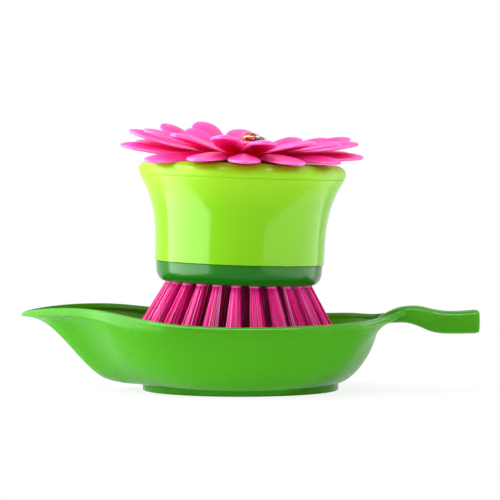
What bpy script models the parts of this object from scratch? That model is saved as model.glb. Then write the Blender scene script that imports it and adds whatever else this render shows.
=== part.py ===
"""Palm dish brush standing in its leaf dish.

The handle is a flared pot. A bristle block closes it from below and a lid closes it from above.
The lid carries a flower of two petal layers, held by a button and a screw, with a ladybird on it.
The dish is a leaf with a raised tip, a rounded lip, a foot ring and a stem to hold it by.

Metres, +Z up. +X runs from the leaf's tip to its stem, and -Y is the front.
The origin lies on the table under the middle of the leaf's length and width.
"""

import math

import bmesh
import bpy
from mathutils import Matrix, Vector
from mathutils.bvhtree import BVHTree

MM = 0.001

# Fits that the whole part shares
GAP = 0.3 * MM
SINK = 1.0 * MM
SNAP_DEPTH = 0.6 * MM
SNAP_WIDTH = 1.6 * MM

# Leaf dish, without its stem
LEAF_LENGTH = 165.5 * MM
LEAF_HALF_WIDTH = 56.5 * MM
RIM_HEIGHT = 29.7 * MM
DISH_WALL = 2.4 * MM
LIP_DEPTH = 2.0 * MM
LIP_HEIGHT = 3.3 * MM
FOOT_HEIGHT = 3.2 * MM
FOOT_WALL = 2.6 * MM
FOOT_SETBACK = 0.8 * MM

# Stem of the leaf
STEM_LENGTH = 44.0 * MM
STEM_WIDTH = 11.0 * MM
STEM_END_ROUND = 0.8 * MM

# Bristle block
BLOCK_RADIUS = 35.4 * MM
BLOCK_HEIGHT = 8.7 * MM
BLOCK_TAPER = 0.2 * MM
BLOCK_CORNER = 3.8 * MM
BLOCK_CORNER_HEIGHT = 6.0 * MM
SPIGOT_HEIGHT = 7.0 * MM
SPIGOT_WALL = 2.4 * MM

# Pot handle
POT_RADIUS = 36.0 * MM
POT_HEIGHT = 35.6 * MM
POT_WALL = 2.2 * MM

# Lid
LID_RADIUS = 44.1 * MM
LID_EDGE = 1.3 * MM
LID_SHOULDER = 8.0 * MM
LID_DOME = 3.1 * MM
LID_WALL = 2.2 * MM
SKIRT_DEPTH = 5.0 * MM
SKIRT_WALL = 2.0 * MM
PAD_RADIUS = 10.0 * MM
PAD_HEIGHT = 0.5 * MM

# Flower
LOWER_RADIUS = 52.0 * MM
UPPER_RADIUS = 49.5 * MM
LOWER_RISE = 3.0 * MM
UPPER_RISE = 7.2 * MM
HUB_RADIUS = 9.0 * MM
HUB_SPACER = 1.0 * MM
PETAL_WIDTH = 15.0 * MM
PETAL_WALL = 1.6 * MM
PETAL_CROWN = 0.9 * MM
PETAL_CURL = 2.2 * MM

# Button of the flower, and its fixing
BUTTON_RADIUS = 8.0 * MM
BUTTON_EDGE = 1.2 * MM
BUTTON_DOME = 2.5 * MM
POST_RADIUS = 3.4 * MM
PILOT_RADIUS = 1.5 * MM
PILOT_DEPTH = 7.6 * MM
SCREW_HEAD_RADIUS = 3.0 * MM
SCREW_HEAD_HEIGHT = 1.9 * MM
SLOT_WIDTH = 0.9 * MM
SLOT_DEPTH = 0.8 * MM
WASHER_RADIUS = 5.2 * MM
WASHER_WALL = 0.8 * MM

# Ladybird
LADYBIRD_LENGTH = 8.6 * MM
LADYBIRD_WIDTH = 7.8 * MM
LADYBIRD_HEIGHT = 3.9 * MM
LADYBIRD_SHIFT = 3.6 * MM
BELLY_WALL = 1.0 * MM
HEAD_RADIUS = 1.9 * MM
PEG_RADIUS = 1.0 * MM
PEG_LENGTH = 2.2 * MM

# Bristle tufts
OUTER_RING = 29.0 * MM
MIDDLE_RING = 20.0 * MM
INNER_RING = 10.5 * MM
ROOT_RADIUS = 2.2 * MM
ROOT_DEPTH = 5.4 * MM
ROOT_STUB = 0.9 * MM
STRAND_RADIUS = 0.5 * MM
STRAND_RING = 1.45 * MM
BRISTLE_DROP = 31.0 * MM
SEAT_DROP = 0.5 * MM

# Place of the brush in the dish: how far it stands from the bowl's middle, and where it is lowered from
BRUSH_SETBACK = 0.8 * MM
TRIAL_HEIGHT = 60.0 * MM

# Counts
SEGMENTS = 40
MIDDLE_SEGMENTS = 32
LADYBIRD_SEGMENTS = 24
SMALL_SEGMENTS = 16
FOOT_SEGMENTS = 64
STEM_SIDES = 12
ROOT_SIDES = 8
STRAND_SIDES = 3
STRANDS_ROUND = 6
ARC_STEPS = 5
SMALL_ARC_STEPS = 4
LIP_STEPS = 2
TUFT_COUNTS = (24, 15, 6)
RING_NAMES = ("outer", "middle", "inner")
PETAL_COLUMNS = 4
PETAL_ROWS = 5
POT_STEPS = 8
POT_FLARE_POWER = 3
WALL_RINGS = 7
STATION_STEPS = 2

# Angles in degrees
SHARP_ANGLE = 35
BRUSH_TILT = 1.9
TUFT_TURN = -92
TUFT_SPLAYS = (27.0, 17.0, 8.0)

# Shares of the sizes above
WELD_SHARE = 0.01
BOWL_SHARE = 0.565
FOOT_LENGTH_SHARE = 0.251
FOOT_WIDTH_SHARE = 0.6725
STEM_ROOT_SHARE = 0.9124
STEM_SQUARE_SHARE = 0.62
TUFT_FLARE_SHARE = 2.4
WALL_CURVE_SHARE = 4 / 3
TIP_CURVE_SHARES = (0.075, 0.785)
TIP_BLEND_SHARES = (0.24, 0.12)
NECK_BLEND_SHARES = (0.905, 0.955)
NECK_FLANGE_SHARES = (0.45, 0.17)
PETAL_WAIST_SHARE = 0.5
PETAL_TIP_SHARE = 0.62
PETAL_END_SHARE = 0.2
PETAL_EASE_SHARE = 1.8
HEAD_REACH_SHARE = 0.94

# Half of the leaf's rim, from its tip to the end of the neck: along the leaf, across it, and up
RIM_SHARES = (
    (0.000, 0.000, 1.120),
    (0.022, 0.070, 1.150),
    (0.062, 0.165, 1.180),
    (0.118, 0.290, 1.200),
    (0.184, 0.450, 1.195),
    (0.245, 0.665, 1.160),
    (0.330, 0.880, 1.090),
    (0.423, 0.980, 1.028),
    (0.565, 1.000, 1.000),
    (0.695, 0.930, 1.006),
    (0.795, 0.790, 1.017),
    (0.861, 0.640, 1.035),
    (0.897, 0.470, 1.055),
    (0.922, 0.300, 1.080),
    (0.944, 0.190, 1.110),
    (0.965, 0.135, 1.145),
    (0.984, 0.110, 1.175),
    (0.996, 0.062, 1.188),
    (1.000, 0.000, 1.190),
)

# Stem, from its root in the bowl's wall to its end: along it, half its width, underside and top
STEM_SHARES = (
    (0.000, 0.450, 0.905, 0.985),
    (0.120, 0.460, 0.948, 1.030),
    (0.230, 0.470, 0.956, 1.110),
    (0.310, 0.480, 0.950, 1.170),
    (0.415, 0.480, 0.900, 1.180),
    (0.540, 0.480, 0.820, 1.150),
    (0.680, 0.485, 0.796, 1.128),
    (0.840, 0.495, 0.798, 1.134),
    (0.985, 0.500, 0.800, 1.152),
)

# Each petal's direction in degrees, then its length, its rise and its curl as shares
LOWER_SHARES = (
    (5, 0.98, 0.65, 0.0),
    (35, 1.00, 1.20, 0.0),
    (65, 1.00, 1.50, 0.0),
    (94, 1.00, 1.70, 0.0),
    (122, 1.00, 1.70, 0.0),
    (151, 1.00, 1.40, 0.0),
    (181, 1.00, 1.40, 0.0),
    (214, 0.98, 0.05, 0.9),
    (243, 1.00, 0.10, 0.1),
    (270, 1.00, 0.10, 0.0),
    (299, 1.00, 0.10, 0.2),
    (327, 0.98, 0.40, 0.0),
)
UPPER_SHARES = (
    (20, 0.97, 1.00, 0.0),
    (54, 1.00, 0.92, 0.0),
    (92, 0.96, 1.25, 0.0),
    (113, 1.00, 1.80, 0.0),
    (136, 0.99, 1.59, 0.0),
    (171, 0.96, 1.02, 0.0),
    (206, 0.95, 1.00, 0.0),
    (233, 0.98, 0.86, 0.0),
    (257, 1.00, 0.83, 0.0),
    (281, 1.00, 0.61, 0.0),
    (310, 0.98, 0.60, 0.0),
    (344, 1.02, 0.72, 0.0),
)

# Places that several pieces share. Heights below are above the underside of the bristle block.
TIP_X = -(STEM_ROOT_SHARE * LEAF_LENGTH + STEM_LENGTH) / 2
BOWL_X = TIP_X + BOWL_SHARE * LEAF_LENGTH
STEM_X = TIP_X + STEM_ROOT_SHARE * LEAF_LENGTH
POT_BOTTOM = BLOCK_HEIGHT + GAP
POT_TOP = POT_BOTTOM + POT_HEIGHT
LID_BOTTOM = POT_TOP + GAP
LID_TOP = LID_BOTTOM + LID_EDGE + LID_DOME
PAD_TOP = LID_TOP + PAD_HEIGHT
LOWER_HUB = PAD_TOP + GAP
UPPER_HUB = LOWER_HUB + PETAL_WALL + GAP + HUB_SPACER
BUTTON_BOTTOM = UPPER_HUB + PETAL_WALL + GAP
BUTTON_TOP = BUTTON_BOTTOM + BUTTON_EDGE + BUTTON_DOME
LID_UNDERSIDE = LID_TOP - LID_WALL
POST_END = LID_UNDERSIDE + GAP
BEAD_HEIGHT = POT_BOTTOM + SPIGOT_HEIGHT / 2
RINGS = (OUTER_RING, MIDDLE_RING, INNER_RING)
POST_HOLE_RADIUS = POST_RADIUS + GAP
ROOT_HOLE_RADIUS = ROOT_RADIUS + GAP
PEG_HOLE_RADIUS = PEG_RADIUS + GAP

COLOURS = {
    "dish_green": (0.095, 0.42, 0.03),
    "pot_lime": (0.30, 0.72, 0.01),
    "block_green": (0.03, 0.26, 0.03),
    "petal_pink": (0.90, 0.015, 0.27),
    "button_pink": (0.70, 0.01, 0.20),
    "bristle_pink": (0.72, 0.01, 0.22),
    "ladybird_red": (0.70, 0.02, 0.01),
    "ladybird_black": (0.012, 0.012, 0.014),
    "steel": (0.60, 0.60, 0.62),
}
ROUGHNESSES = {"dish_green": 0.3, "pot_lime": 0.18, "block_green": 0.25, "petal_pink": 0.35, "steel": 0.3}
PLAIN_ROUGHNESS = 0.4


def clear_scene():
    """Removes whatever the file holds."""
    for obj in list(bpy.data.objects):
        bpy.data.objects.remove(obj)


def finish_of(name):
    """The named finish, made once."""
    material = bpy.data.materials.get(name)
    if material:
        return material
    material = bpy.data.materials.new(name)
    material.use_nodes = True
    shader = material.node_tree.nodes["Principled BSDF"]
    shader.inputs["Base Color"].default_value = (*COLOURS[name], 1)
    shader.inputs["Roughness"].default_value = ROUGHNESSES.get(name, PLAIN_ROUGHNESS)
    shader.inputs["Metallic"].default_value = 1 if name == "steel" else 0
    return material


def to_mesh(bm, name):
    """Closes a bmesh off as a mesh whose faces point outwards."""
    bmesh.ops.recalc_face_normals(bm, faces=bm.faces)
    mesh = bpy.data.meshes.new(name)
    bm.to_mesh(mesh)
    bm.free()
    mesh.shade_smooth()
    mesh.set_sharp_from_angle(angle=math.radians(SHARP_ANGLE))
    return mesh


def place(name, mesh, finish, parent=None):
    """An object of this mesh in the scene, carried by parent."""
    obj = bpy.data.objects.new(name, mesh)
    bpy.context.scene.collection.objects.link(obj)
    if not mesh.materials:
        mesh.materials.append(finish_of(finish))
    obj.parent = parent
    return obj


def as_helper(obj):
    """Marks a cutter or a joined shape, which isn't a piece of its own."""
    obj.hide_render = True
    obj.display_type = "WIRE"
    return obj


def add_boolean(obj, helper, operation):
    """Cuts the helper from obj, or joins it to obj."""
    modifier = obj.modifiers.new(helper.name, "BOOLEAN")
    modifier.operation = operation
    modifier.solver = "EXACT"
    modifier.object = as_helper(helper)


def turned(name, profile, segments=SEGMENTS):
    """A mesh turned round Z from (radius, height) points. A profile that meets the axis is open there."""
    bm = bmesh.new()
    points = [bm.verts.new((radius, 0, height)) for radius, height in profile]
    on_axis = profile[0][0] == 0 and profile[-1][0] == 0
    ends = points[1:] if on_axis else points[1:] + points[:1]
    edges = [bm.edges.new(pair) for pair in zip(points, ends)]
    bmesh.ops.spin(
        bm,
        geom=points + edges,
        cent=(0, 0, 0),
        axis=(0, 0, 1),
        angle=2 * math.pi,
        steps=segments,
        use_merge=True,
    )
    bmesh.ops.remove_doubles(bm, verts=bm.verts, dist=WELD_SHARE * GAP)
    return to_mesh(bm, name)


def arc(centre, across, up, first, last, steps):
    """Points of a quarter round or less, in (radius, height), from one angle to the other in degrees."""
    angles = [math.radians(first + (last - first) * step / steps) for step in range(steps + 1)]
    return [(centre[0] + across * math.cos(a), centre[1] + up * math.sin(a)) for a in angles]


def smooth_step(value):
    """Eases from 0 to 1."""
    value = min(1, max(0, value))
    return value * value * (3 - 2 * value)


def ring_of(bm, points):
    """New vertices at these points, and the edges that close them into a loop."""
    verts = [bm.verts.new(point) for point in points]
    edges = [bm.edges.new((a, b)) for a, b in zip(verts, verts[1:] + verts[:1])]
    return verts, edges


def bridge_rings(bm, rings):
    """Joins each ring of edges to the next."""
    for first, second in zip(rings, rings[1:]):
        bmesh.ops.bridge_loops(bm, edges=first + second)


def between(before, start, end, after, t):
    """A value at this share of the way from start to end, on the smooth curve through all four."""
    slope = end - before
    bend = 2 * before - 5 * start + 4 * end - after
    twist = 3 * start - before - 3 * end + after
    return start + (slope * t + bend * t**2 + twist * t**3) / 2


def curve_through(stations, steps):
    """Points on a smooth curve through the stations, with steps points from each to the next."""
    padded = [stations[0], *stations, stations[-1]]
    points = []
    for corners in zip(padded, padded[1:], padded[2:], padded[3:]):
        for step in range(steps):
            points.append(tuple(between(*values, step / steps) for values in zip(*corners)))
    return points + [stations[-1]]


def rim_points():
    """The rim seen from above, as points going once round the leaf from its tip."""
    half = [
        (TIP_X + along * LEAF_LENGTH, across * LEAF_HALF_WIDTH, up * RIM_HEIGHT)
        for along, across, up in RIM_SHARES
    ]
    mirrored = [(x, -y, z) for x, y, z in half]
    curve = curve_through([mirrored[1], *half, mirrored[-2]], STATION_STEPS)[STATION_STEPS:-STATION_STEPS]
    return curve + [(x, -y, z) for x, y, z in reversed(curve[1:-1])]


def foot_reach(angle):
    """How far the floor reaches from the bowl's centre in this direction, just past the foot ring."""
    length = FOOT_LENGTH_SHARE * LEAF_LENGTH + FOOT_SETBACK
    width = FOOT_WIDTH_SHARE * LEAF_HALF_WIDTH + FOOT_SETBACK
    return length * width / math.hypot(width * math.cos(angle), length * math.sin(angle))


def wall_shares(t):
    """The bowl's own wall: steep under the lip and rounding into the floor."""
    angle = t * math.pi / 2
    return 1 - math.cos(angle) ** WALL_CURVE_SHARE, math.sin(angle) ** WALL_CURVE_SHARE


def tip_shares(t):
    """Under the leaf's tip: flat at first, then an easy slope into the floor."""
    start, end = TIP_CURVE_SHARES
    return t, smooth_step((t - start) / (end - start))


def neck_shares(t):
    """Under the neck of the stem: a flat flange, then the bowl's wall."""
    inward, drop = NECK_FLANGE_SHARES
    if t < inward:
        return t, drop * t / inward
    wall_in, wall_drop = wall_shares((t - inward) / (1 - inward))
    return inward + (1 - inward) * wall_in, drop + (1 - drop) * wall_drop


def section(rim):
    """Points of the dish's outer surface under one point of the rim, from the lip's top to the foot."""
    x, y, z = rim
    reach, angle = math.hypot(x - BOWL_X, y), math.atan2(y, x - BOWL_X)
    along = (x - TIP_X) / LEAF_LENGTH
    tip_start, tip_full = TIP_BLEND_SHARES
    neck_start, neck_full = NECK_BLEND_SHARES
    tip = smooth_step((tip_start - along) / (tip_start - tip_full))
    neck = smooth_step((along - neck_start) / (neck_full - neck_start))
    foot = foot_reach(angle)
    top = z - LIP_HEIGHT
    lip = arc((reach - LIP_DEPTH, top), LIP_DEPTH, LIP_HEIGHT, 90, 0, LIP_STEPS)
    wall = []
    for ring in range(1, WALL_RINGS + 1):
        t = ring / WALL_RINGS
        weights = ((wall_shares(t), 1 - tip - neck), (tip_shares(t), tip), (neck_shares(t), neck))
        inward = sum(shares[0] * weight for shares, weight in weights)
        drop = sum(shares[1] * weight for shares, weight in weights)
        wall.append((reach + (foot - reach) * inward, top + (FOOT_HEIGHT - top) * drop))
    return [Vector((BOWL_X + r * math.cos(angle), r * math.sin(angle), h)) for r, h in lip + wall]


def foot_ring():
    """The oval ring that the dish stands on, reaching up into its floor."""
    outer = FOOT_WIDTH_SHARE * LEAF_HALF_WIDTH
    inner = outer - FOOT_WALL
    top = FOOT_HEIGHT + DISH_WALL / 2
    ring = turned("foot_ring", [(inner, 0), (outer, 0), (outer, top), (inner, top)], FOOT_SEGMENTS)
    ring.transform(Matrix.Diagonal((FOOT_LENGTH_SHARE * LEAF_LENGTH / outer, 1, 1, 1)))
    ring.transform(Matrix.Translation((BOWL_X, 0, 0)))
    return ring


def stem_section(x, half, low, high):
    """A rounded square across the stem."""
    points = []
    for side in range(STEM_SIDES):
        angle = 2 * math.pi * (side + 0.5) / STEM_SIDES
        across, up = math.cos(angle), math.sin(angle)
        wide = math.copysign(abs(across) ** STEM_SQUARE_SHARE, across)
        tall = math.copysign(abs(up) ** STEM_SQUARE_SHARE, up)
        points.append((x, half * wide, (low + high) / 2 + (high - low) / 2 * tall))
    return points


def stem_bar():
    """The stem's bar, rooted in the bowl's wall under the neck, with its end's edge rounded."""
    bm = bmesh.new()
    stations = [
        (STEM_X + along * STEM_LENGTH, half * STEM_WIDTH, low * RIM_HEIGHT, high * RIM_HEIGHT)
        for along, half, low, high in STEM_SHARES
    ]
    _, half, low, high = stations[-1]
    stations.append((-TIP_X, half - STEM_END_ROUND, low + STEM_END_ROUND, high - STEM_END_ROUND))
    loops = [ring_of(bm, stem_section(*station)) for station in stations]
    bridge_rings(bm, [edges for _, edges in loops])
    for verts, _ in (loops[0], loops[-1]):
        bm.faces.new(verts)
    return to_mesh(bm, "stem_bar")


def build_dish():
    """The leaf dish: one moulding of bowl, lip, neck, stem and foot ring."""
    bm = bmesh.new()
    columns = [section(rim) for rim in rim_points()]
    loops = [ring_of(bm, ring) for ring in zip(*columns)]
    bridge_rings(bm, [edges for _, edges in loops])
    bm.faces.new(loops[-1][0])
    dish = place("leaf_dish", to_mesh(bm, "leaf_dish"), "dish_green")
    shell = dish.modifiers.new("wall", "SOLIDIFY")
    shell.thickness = DISH_WALL
    shell.offset = -1
    shell.use_even_offset = True
    add_boolean(dish, place("foot_ring", foot_ring(), "dish_green"), "UNION")
    add_boolean(dish, place("stem_bar", stem_bar(), "dish_green"), "UNION")
    return dish


def pot_radius(up):
    """The pot's outer radius at this height above its lower edge: nearly straight, then flaring."""
    return POT_RADIUS + (LID_RADIUS - POT_RADIUS) * (up / POT_HEIGHT) ** POT_FLARE_POWER


def build_pot(brush):
    """The hollow handle, open at both ends, with a groove inside for the block's bead."""
    ups = [POT_HEIGHT * step / POT_STEPS for step in range(POT_STEPS + 1)]
    outer = [(pot_radius(up), POT_BOTTOM + up) for up in ups]
    inner = [(radius - POT_WALL, height) for radius, height in outer]
    bore = inner[0][0]
    groove = [
        (bore, BEAD_HEIGHT - SNAP_WIDTH / 2),
        (bore + SNAP_DEPTH, BEAD_HEIGHT),
        (bore, BEAD_HEIGHT + SNAP_WIDTH / 2),
    ]
    higher = [point for point in inner[1:] if point[1] > groove[-1][1]]
    profile = outer + list(reversed([inner[0], *groove, *higher]))
    place("pot_shell", turned("pot_shell", profile), "pot_lime", brush)


def root_angles(ring):
    """Directions of a ring's tufts in radians. The outer ring has one just left of the front."""
    count = TUFT_COUNTS[ring]
    return [math.radians(TUFT_TURN + 360 * step / count) for step in range(count)]


def root_holes():
    """One cutter for every blind hole in the block."""
    bm = bmesh.new()
    height = ROOT_DEPTH + GAP + SINK
    for ring, radius in enumerate(RINGS):
        for angle in root_angles(ring):
            bmesh.ops.create_cone(
                bm,
                cap_ends=True,
                segments=ROOT_SIDES,
                radius1=ROOT_HOLE_RADIUS,
                radius2=ROOT_HOLE_RADIUS,
                depth=height,
                matrix=Matrix.Rotation(angle, 4, "Z") @ Matrix.Translation((radius, 0, height / 2 - SINK)),
            )
    return to_mesh(bm, "root_holes")


def build_block(brush):
    """The bristle block: a rounded disc with blind holes under it and a spigot that snaps into the pot."""
    corner = (BLOCK_RADIUS - BLOCK_TAPER - BLOCK_CORNER, BLOCK_CORNER_HEIGHT)
    side = arc(corner, BLOCK_CORNER, BLOCK_CORNER_HEIGHT, -90, 0, ARC_STEPS)
    spigot = POT_RADIUS - POT_WALL - GAP
    top = BLOCK_HEIGHT + SPIGOT_HEIGHT
    profile = [(0, 0), *side, (BLOCK_RADIUS, BLOCK_HEIGHT)]
    profile += [(spigot, BLOCK_HEIGHT), (spigot, BEAD_HEIGHT - SNAP_WIDTH / 2)]
    profile += [(spigot + SNAP_DEPTH, BEAD_HEIGHT), (spigot, BEAD_HEIGHT + SNAP_WIDTH / 2), (spigot, top)]
    profile += [(spigot - SPIGOT_WALL, top), (spigot - SPIGOT_WALL, BLOCK_HEIGHT), (0, BLOCK_HEIGHT)]
    block = place("brush_block", turned("brush_block", profile), "block_green", brush)
    add_boolean(block, place("root_holes", root_holes(), "block_green", brush), "DIFFERENCE")


def build_lid(brush):
    """The lid: a rolled shoulder, a flat deck, a pad for the flower and a skirt that plugs the pot."""
    corner = (LID_RADIUS - LID_SHOULDER, LID_BOTTOM + LID_EDGE)
    shoulder = arc(corner, LID_SHOULDER, LID_DOME, 90, 0, ARC_STEPS)
    skirt_top = pot_radius(POT_HEIGHT) - POT_WALL - GAP
    skirt_end = pot_radius(POT_HEIGHT - SKIRT_DEPTH) - POT_WALL - GAP
    profile = [(POST_HOLE_RADIUS, LID_UNDERSIDE), (POST_HOLE_RADIUS, PAD_TOP), (PAD_RADIUS, PAD_TOP)]
    profile += [(PAD_RADIUS, LID_TOP), *shoulder, (LID_RADIUS, LID_BOTTOM), (skirt_top, LID_BOTTOM)]
    profile += [(skirt_end, LID_BOTTOM - SKIRT_DEPTH), (skirt_end - SKIRT_WALL, LID_BOTTOM - SKIRT_DEPTH)]
    profile += [(skirt_end - SKIRT_WALL, LID_UNDERSIDE)]
    place("top_deck", turned("top_deck", profile), "pot_lime", brush)


def petal_half_width(t):
    """Half the petal's width at this share of its length: a waist, a broad blade and a round tip."""
    blade = PETAL_WAIST_SHARE + (1 - PETAL_WAIST_SHARE) * smooth_step(t / PETAL_TIP_SHARE)
    past = max(0, (t - PETAL_TIP_SHARE) / (1 - PETAL_TIP_SHARE))
    return PETAL_WIDTH / 2 * max(PETAL_END_SHARE, blade * math.sqrt(1 - past**2))


def petal_row(t, direction, reach, rise, curl):
    """Points across a petal at this share of its length. Its edges turn up a little."""
    along = HUB_RADIUS + (reach - HUB_RADIUS) * t
    past = max(0, (t - PETAL_TIP_SHARE) / (1 - PETAL_TIP_SHARE))
    height = rise * t**PETAL_EASE_SHARE - curl * PETAL_CURL * past**2
    points = []
    for column in range(PETAL_COLUMNS + 1):
        side = 2 * column / PETAL_COLUMNS - 1
        across = side * petal_half_width(t)
        x = along * math.cos(direction) - across * math.sin(direction)
        y = along * math.sin(direction) + across * math.cos(direction)
        points.append((x, y, height + PETAL_CROWN * t * side**2))
    return points


def grow_row(bm, row, points):
    """Extrudes a row of edges, moves the new vertices to these points and returns them in order."""
    edges = [bm.edges.get(pair) for pair in zip(row, row[1:])]
    made = bmesh.ops.extrude_edge_only(bm, edges=edges)["geom"]
    fresh = {item for item in made if isinstance(item, bmesh.types.BMVert)}
    grown = [next(end for edge in vert.link_edges for end in edge.verts if end in fresh) for vert in row]
    for vert, point in zip(grown, points):
        vert.co = point
    return grown


def hub_angles(turns):
    """Directions round the hub, with PETAL_COLUMNS steps for each petal between its neighbours."""
    limits = [(here + there) / 2 for here, there in zip(turns, turns[1:] + [turns[0] + 2 * math.pi])]
    starts = [limits[-1] - 2 * math.pi] + limits[:-1]
    return [
        start + (end - start) * column / PETAL_COLUMNS
        for start, end in zip(starts, limits)
        for column in range(PETAL_COLUMNS)
    ]


def petal_layer(name, shares, radius, rise):
    """A hub with a hole and its petals, as one sheet that faces up."""
    bm = bmesh.new()
    turns = [math.radians(share[0]) for share in shares]
    angles = hub_angles(turns)
    rings = [
        ring_of(bm, [(reach * math.cos(angle), reach * math.sin(angle), 0) for angle in angles])
        for reach in (POST_HOLE_RADIUS, HUB_RADIUS)
    ]
    bridge_rings(bm, [edges for _, edges in rings])
    hub = rings[-1][0]
    for petal, (_, length, lift, curl) in enumerate(shares):
        first = petal * PETAL_COLUMNS
        row = [hub[(first + column) % len(hub)] for column in range(PETAL_COLUMNS + 1)]
        for step in range(1, PETAL_ROWS + 1):
            t = math.sin(math.pi / 2 * step / PETAL_ROWS)
            row = grow_row(bm, row, petal_row(t, turns[petal], radius * length, rise * lift, curl))
    bmesh.ops.recalc_face_normals(bm, faces=bm.faces)
    if bm.faces[:][0].normal.z < 0:
        bmesh.ops.reverse_faces(bm, faces=bm.faces)
    mesh = bpy.data.meshes.new(name)
    bm.to_mesh(mesh)
    bm.free()
    mesh.shade_smooth()
    return mesh


def build_petals(brush):
    """The two petal layers, each one moulding."""
    layers = (
        ("petals_lower", LOWER_SHARES, LOWER_RADIUS, LOWER_RISE, LOWER_HUB),
        ("petals_upper", UPPER_SHARES, UPPER_RADIUS, UPPER_RISE, UPPER_HUB),
    )
    for name, shares, radius, rise, height in layers:
        layer = place(name, petal_layer(name, shares, radius, rise), "petal_pink", brush)
        layer.location.z = height
        wall = layer.modifiers.new("wall", "SOLIDIFY")
        wall.thickness = PETAL_WALL
        wall.offset = 1


def build_button(brush):
    """The flower's button, with a post down through the hubs and the lid, and a pilot hole in it."""
    dome = arc((0, BUTTON_BOTTOM + BUTTON_EDGE), BUTTON_RADIUS, BUTTON_DOME, 90, 0, SMALL_ARC_STEPS)
    profile = [(0, BUTTON_TOP), *dome[1:], (BUTTON_RADIUS, BUTTON_BOTTOM), (POST_RADIUS, BUTTON_BOTTOM)]
    profile += [(POST_RADIUS, POST_END), (PILOT_RADIUS, POST_END)]
    profile += [(PILOT_RADIUS, POST_END + PILOT_DEPTH), (0, POST_END + PILOT_DEPTH)]
    return place("flower_centre", turned("flower_centre", profile, MIDDLE_SEGMENTS), "button_pink", brush)


def build_fixing(brush):
    """The screw and washer that hold the flower on from inside the pot."""
    shank = PILOT_RADIUS - GAP
    washer_top = LID_UNDERSIDE - GAP
    washer_bottom = washer_top - WASHER_WALL
    ring = [(PILOT_RADIUS, washer_bottom), (WASHER_RADIUS, washer_bottom)]
    ring += [(WASHER_RADIUS, washer_top), (PILOT_RADIUS, washer_top)]
    place("flower_washer", turned("flower_washer", ring, SMALL_SEGMENTS), "steel", brush)
    head = washer_bottom - GAP
    tip = POST_END + PILOT_DEPTH - GAP
    pan = arc((0, head), SCREW_HEAD_RADIUS, SCREW_HEAD_HEIGHT, 0, -90, SMALL_ARC_STEPS)
    profile = [(0, tip), (shank / 2, tip), (shank, tip - shank), (shank, head), *pan[:-1]]
    profile += [(0, head - SCREW_HEAD_HEIGHT)]
    screw = place("flower_screw", turned("flower_screw", profile, SMALL_SEGMENTS), "steel", brush)
    bm = bmesh.new()
    slot = Matrix.Translation((0, 0, head - SCREW_HEAD_HEIGHT))
    slot @= Matrix.Diagonal((3 * SCREW_HEAD_RADIUS, SLOT_WIDTH, 2 * SLOT_DEPTH, 1))
    bmesh.ops.create_cube(bm, size=1, matrix=slot)
    add_boolean(screw, place("screw_slot", to_mesh(bm, "screw_slot"), "steel", brush), "DIFFERENCE")


def ball(name, radius, centre):
    """A small sphere."""
    bm = bmesh.new()
    bmesh.ops.create_uvsphere(
        bm,
        u_segments=SMALL_SEGMENTS,
        v_segments=SMALL_SEGMENTS // 2,
        radius=radius,
        matrix=Matrix.Translation(centre),
    )
    return to_mesh(bm, name)


def oval(name, profile):
    """A small turned shape stretched along X to the ladybird's length."""
    mesh = turned(name, profile, LADYBIRD_SEGMENTS)
    mesh.transform(Matrix.Diagonal((LADYBIRD_LENGTH / LADYBIRD_WIDTH, 1, 1, 1)))
    return mesh


def build_ladybird(brush, button):
    """The ladybird on the button's slope, nose down: a body with a head and a peg, and its wing case."""
    share = LADYBIRD_SHIFT / BUTTON_RADIUS
    fall = math.sqrt(1 - share**2)
    perch = bpy.data.objects.new("ladybird_perch", None)
    bpy.context.scene.collection.objects.link(perch)
    perch.parent = brush
    perch.location = (LADYBIRD_SHIFT, 0, BUTTON_BOTTOM + BUTTON_EDGE + BUTTON_DOME * fall)
    perch.rotation_euler.y = math.atan(BUTTON_DOME * share / fall / BUTTON_RADIUS)
    half = LADYBIRD_WIDTH / 2
    belly_top = GAP + BELLY_WALL
    plate = [(0, GAP), (half - BELLY_WALL / 2, GAP), (half, GAP + BELLY_WALL / 2)]
    plate += [(half, belly_top), (0, belly_top)]
    body = place("ladybug_body", oval("ladybug_body", plate), "ladybird_black", perch)
    nose = (HEAD_REACH_SHARE * LADYBIRD_LENGTH / 2, 0, GAP + HEAD_RADIUS)
    add_boolean(body, place("head", ball("head", HEAD_RADIUS, nose), "ladybird_black", perch), "UNION")
    for name, radius, target, operation in (
        ("peg", PEG_RADIUS, body, "UNION"),
        ("peg_hole", PEG_HOLE_RADIUS, button, "DIFFERENCE"),
    ):
        low = -PEG_LENGTH if target is body else -PEG_LENGTH - GAP
        pin = [(0, low), (radius, low), (radius, GAP + BELLY_WALL / 2), (0, GAP + BELLY_WALL / 2)]
        add_boolean(target, place(name, turned(name, pin, ROOT_SIDES), "ladybird_black", perch), operation)
    case_low = belly_top + GAP
    case_height = LADYBIRD_HEIGHT - belly_top
    case = [(0, case_low), *arc((0, case_low), half, case_height, 0, 90, ARC_STEPS)[:-1]]
    case += [(0, case_low + case_height)]
    shell = place("ladybug_shell", oval("ladybug_shell", case), "ladybird_red", perch)
    room = place("head_room", ball("head_room", HEAD_RADIUS + GAP, nose), "ladybird_red", perch)
    add_boolean(shell, room, "DIFFERENCE")


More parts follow.
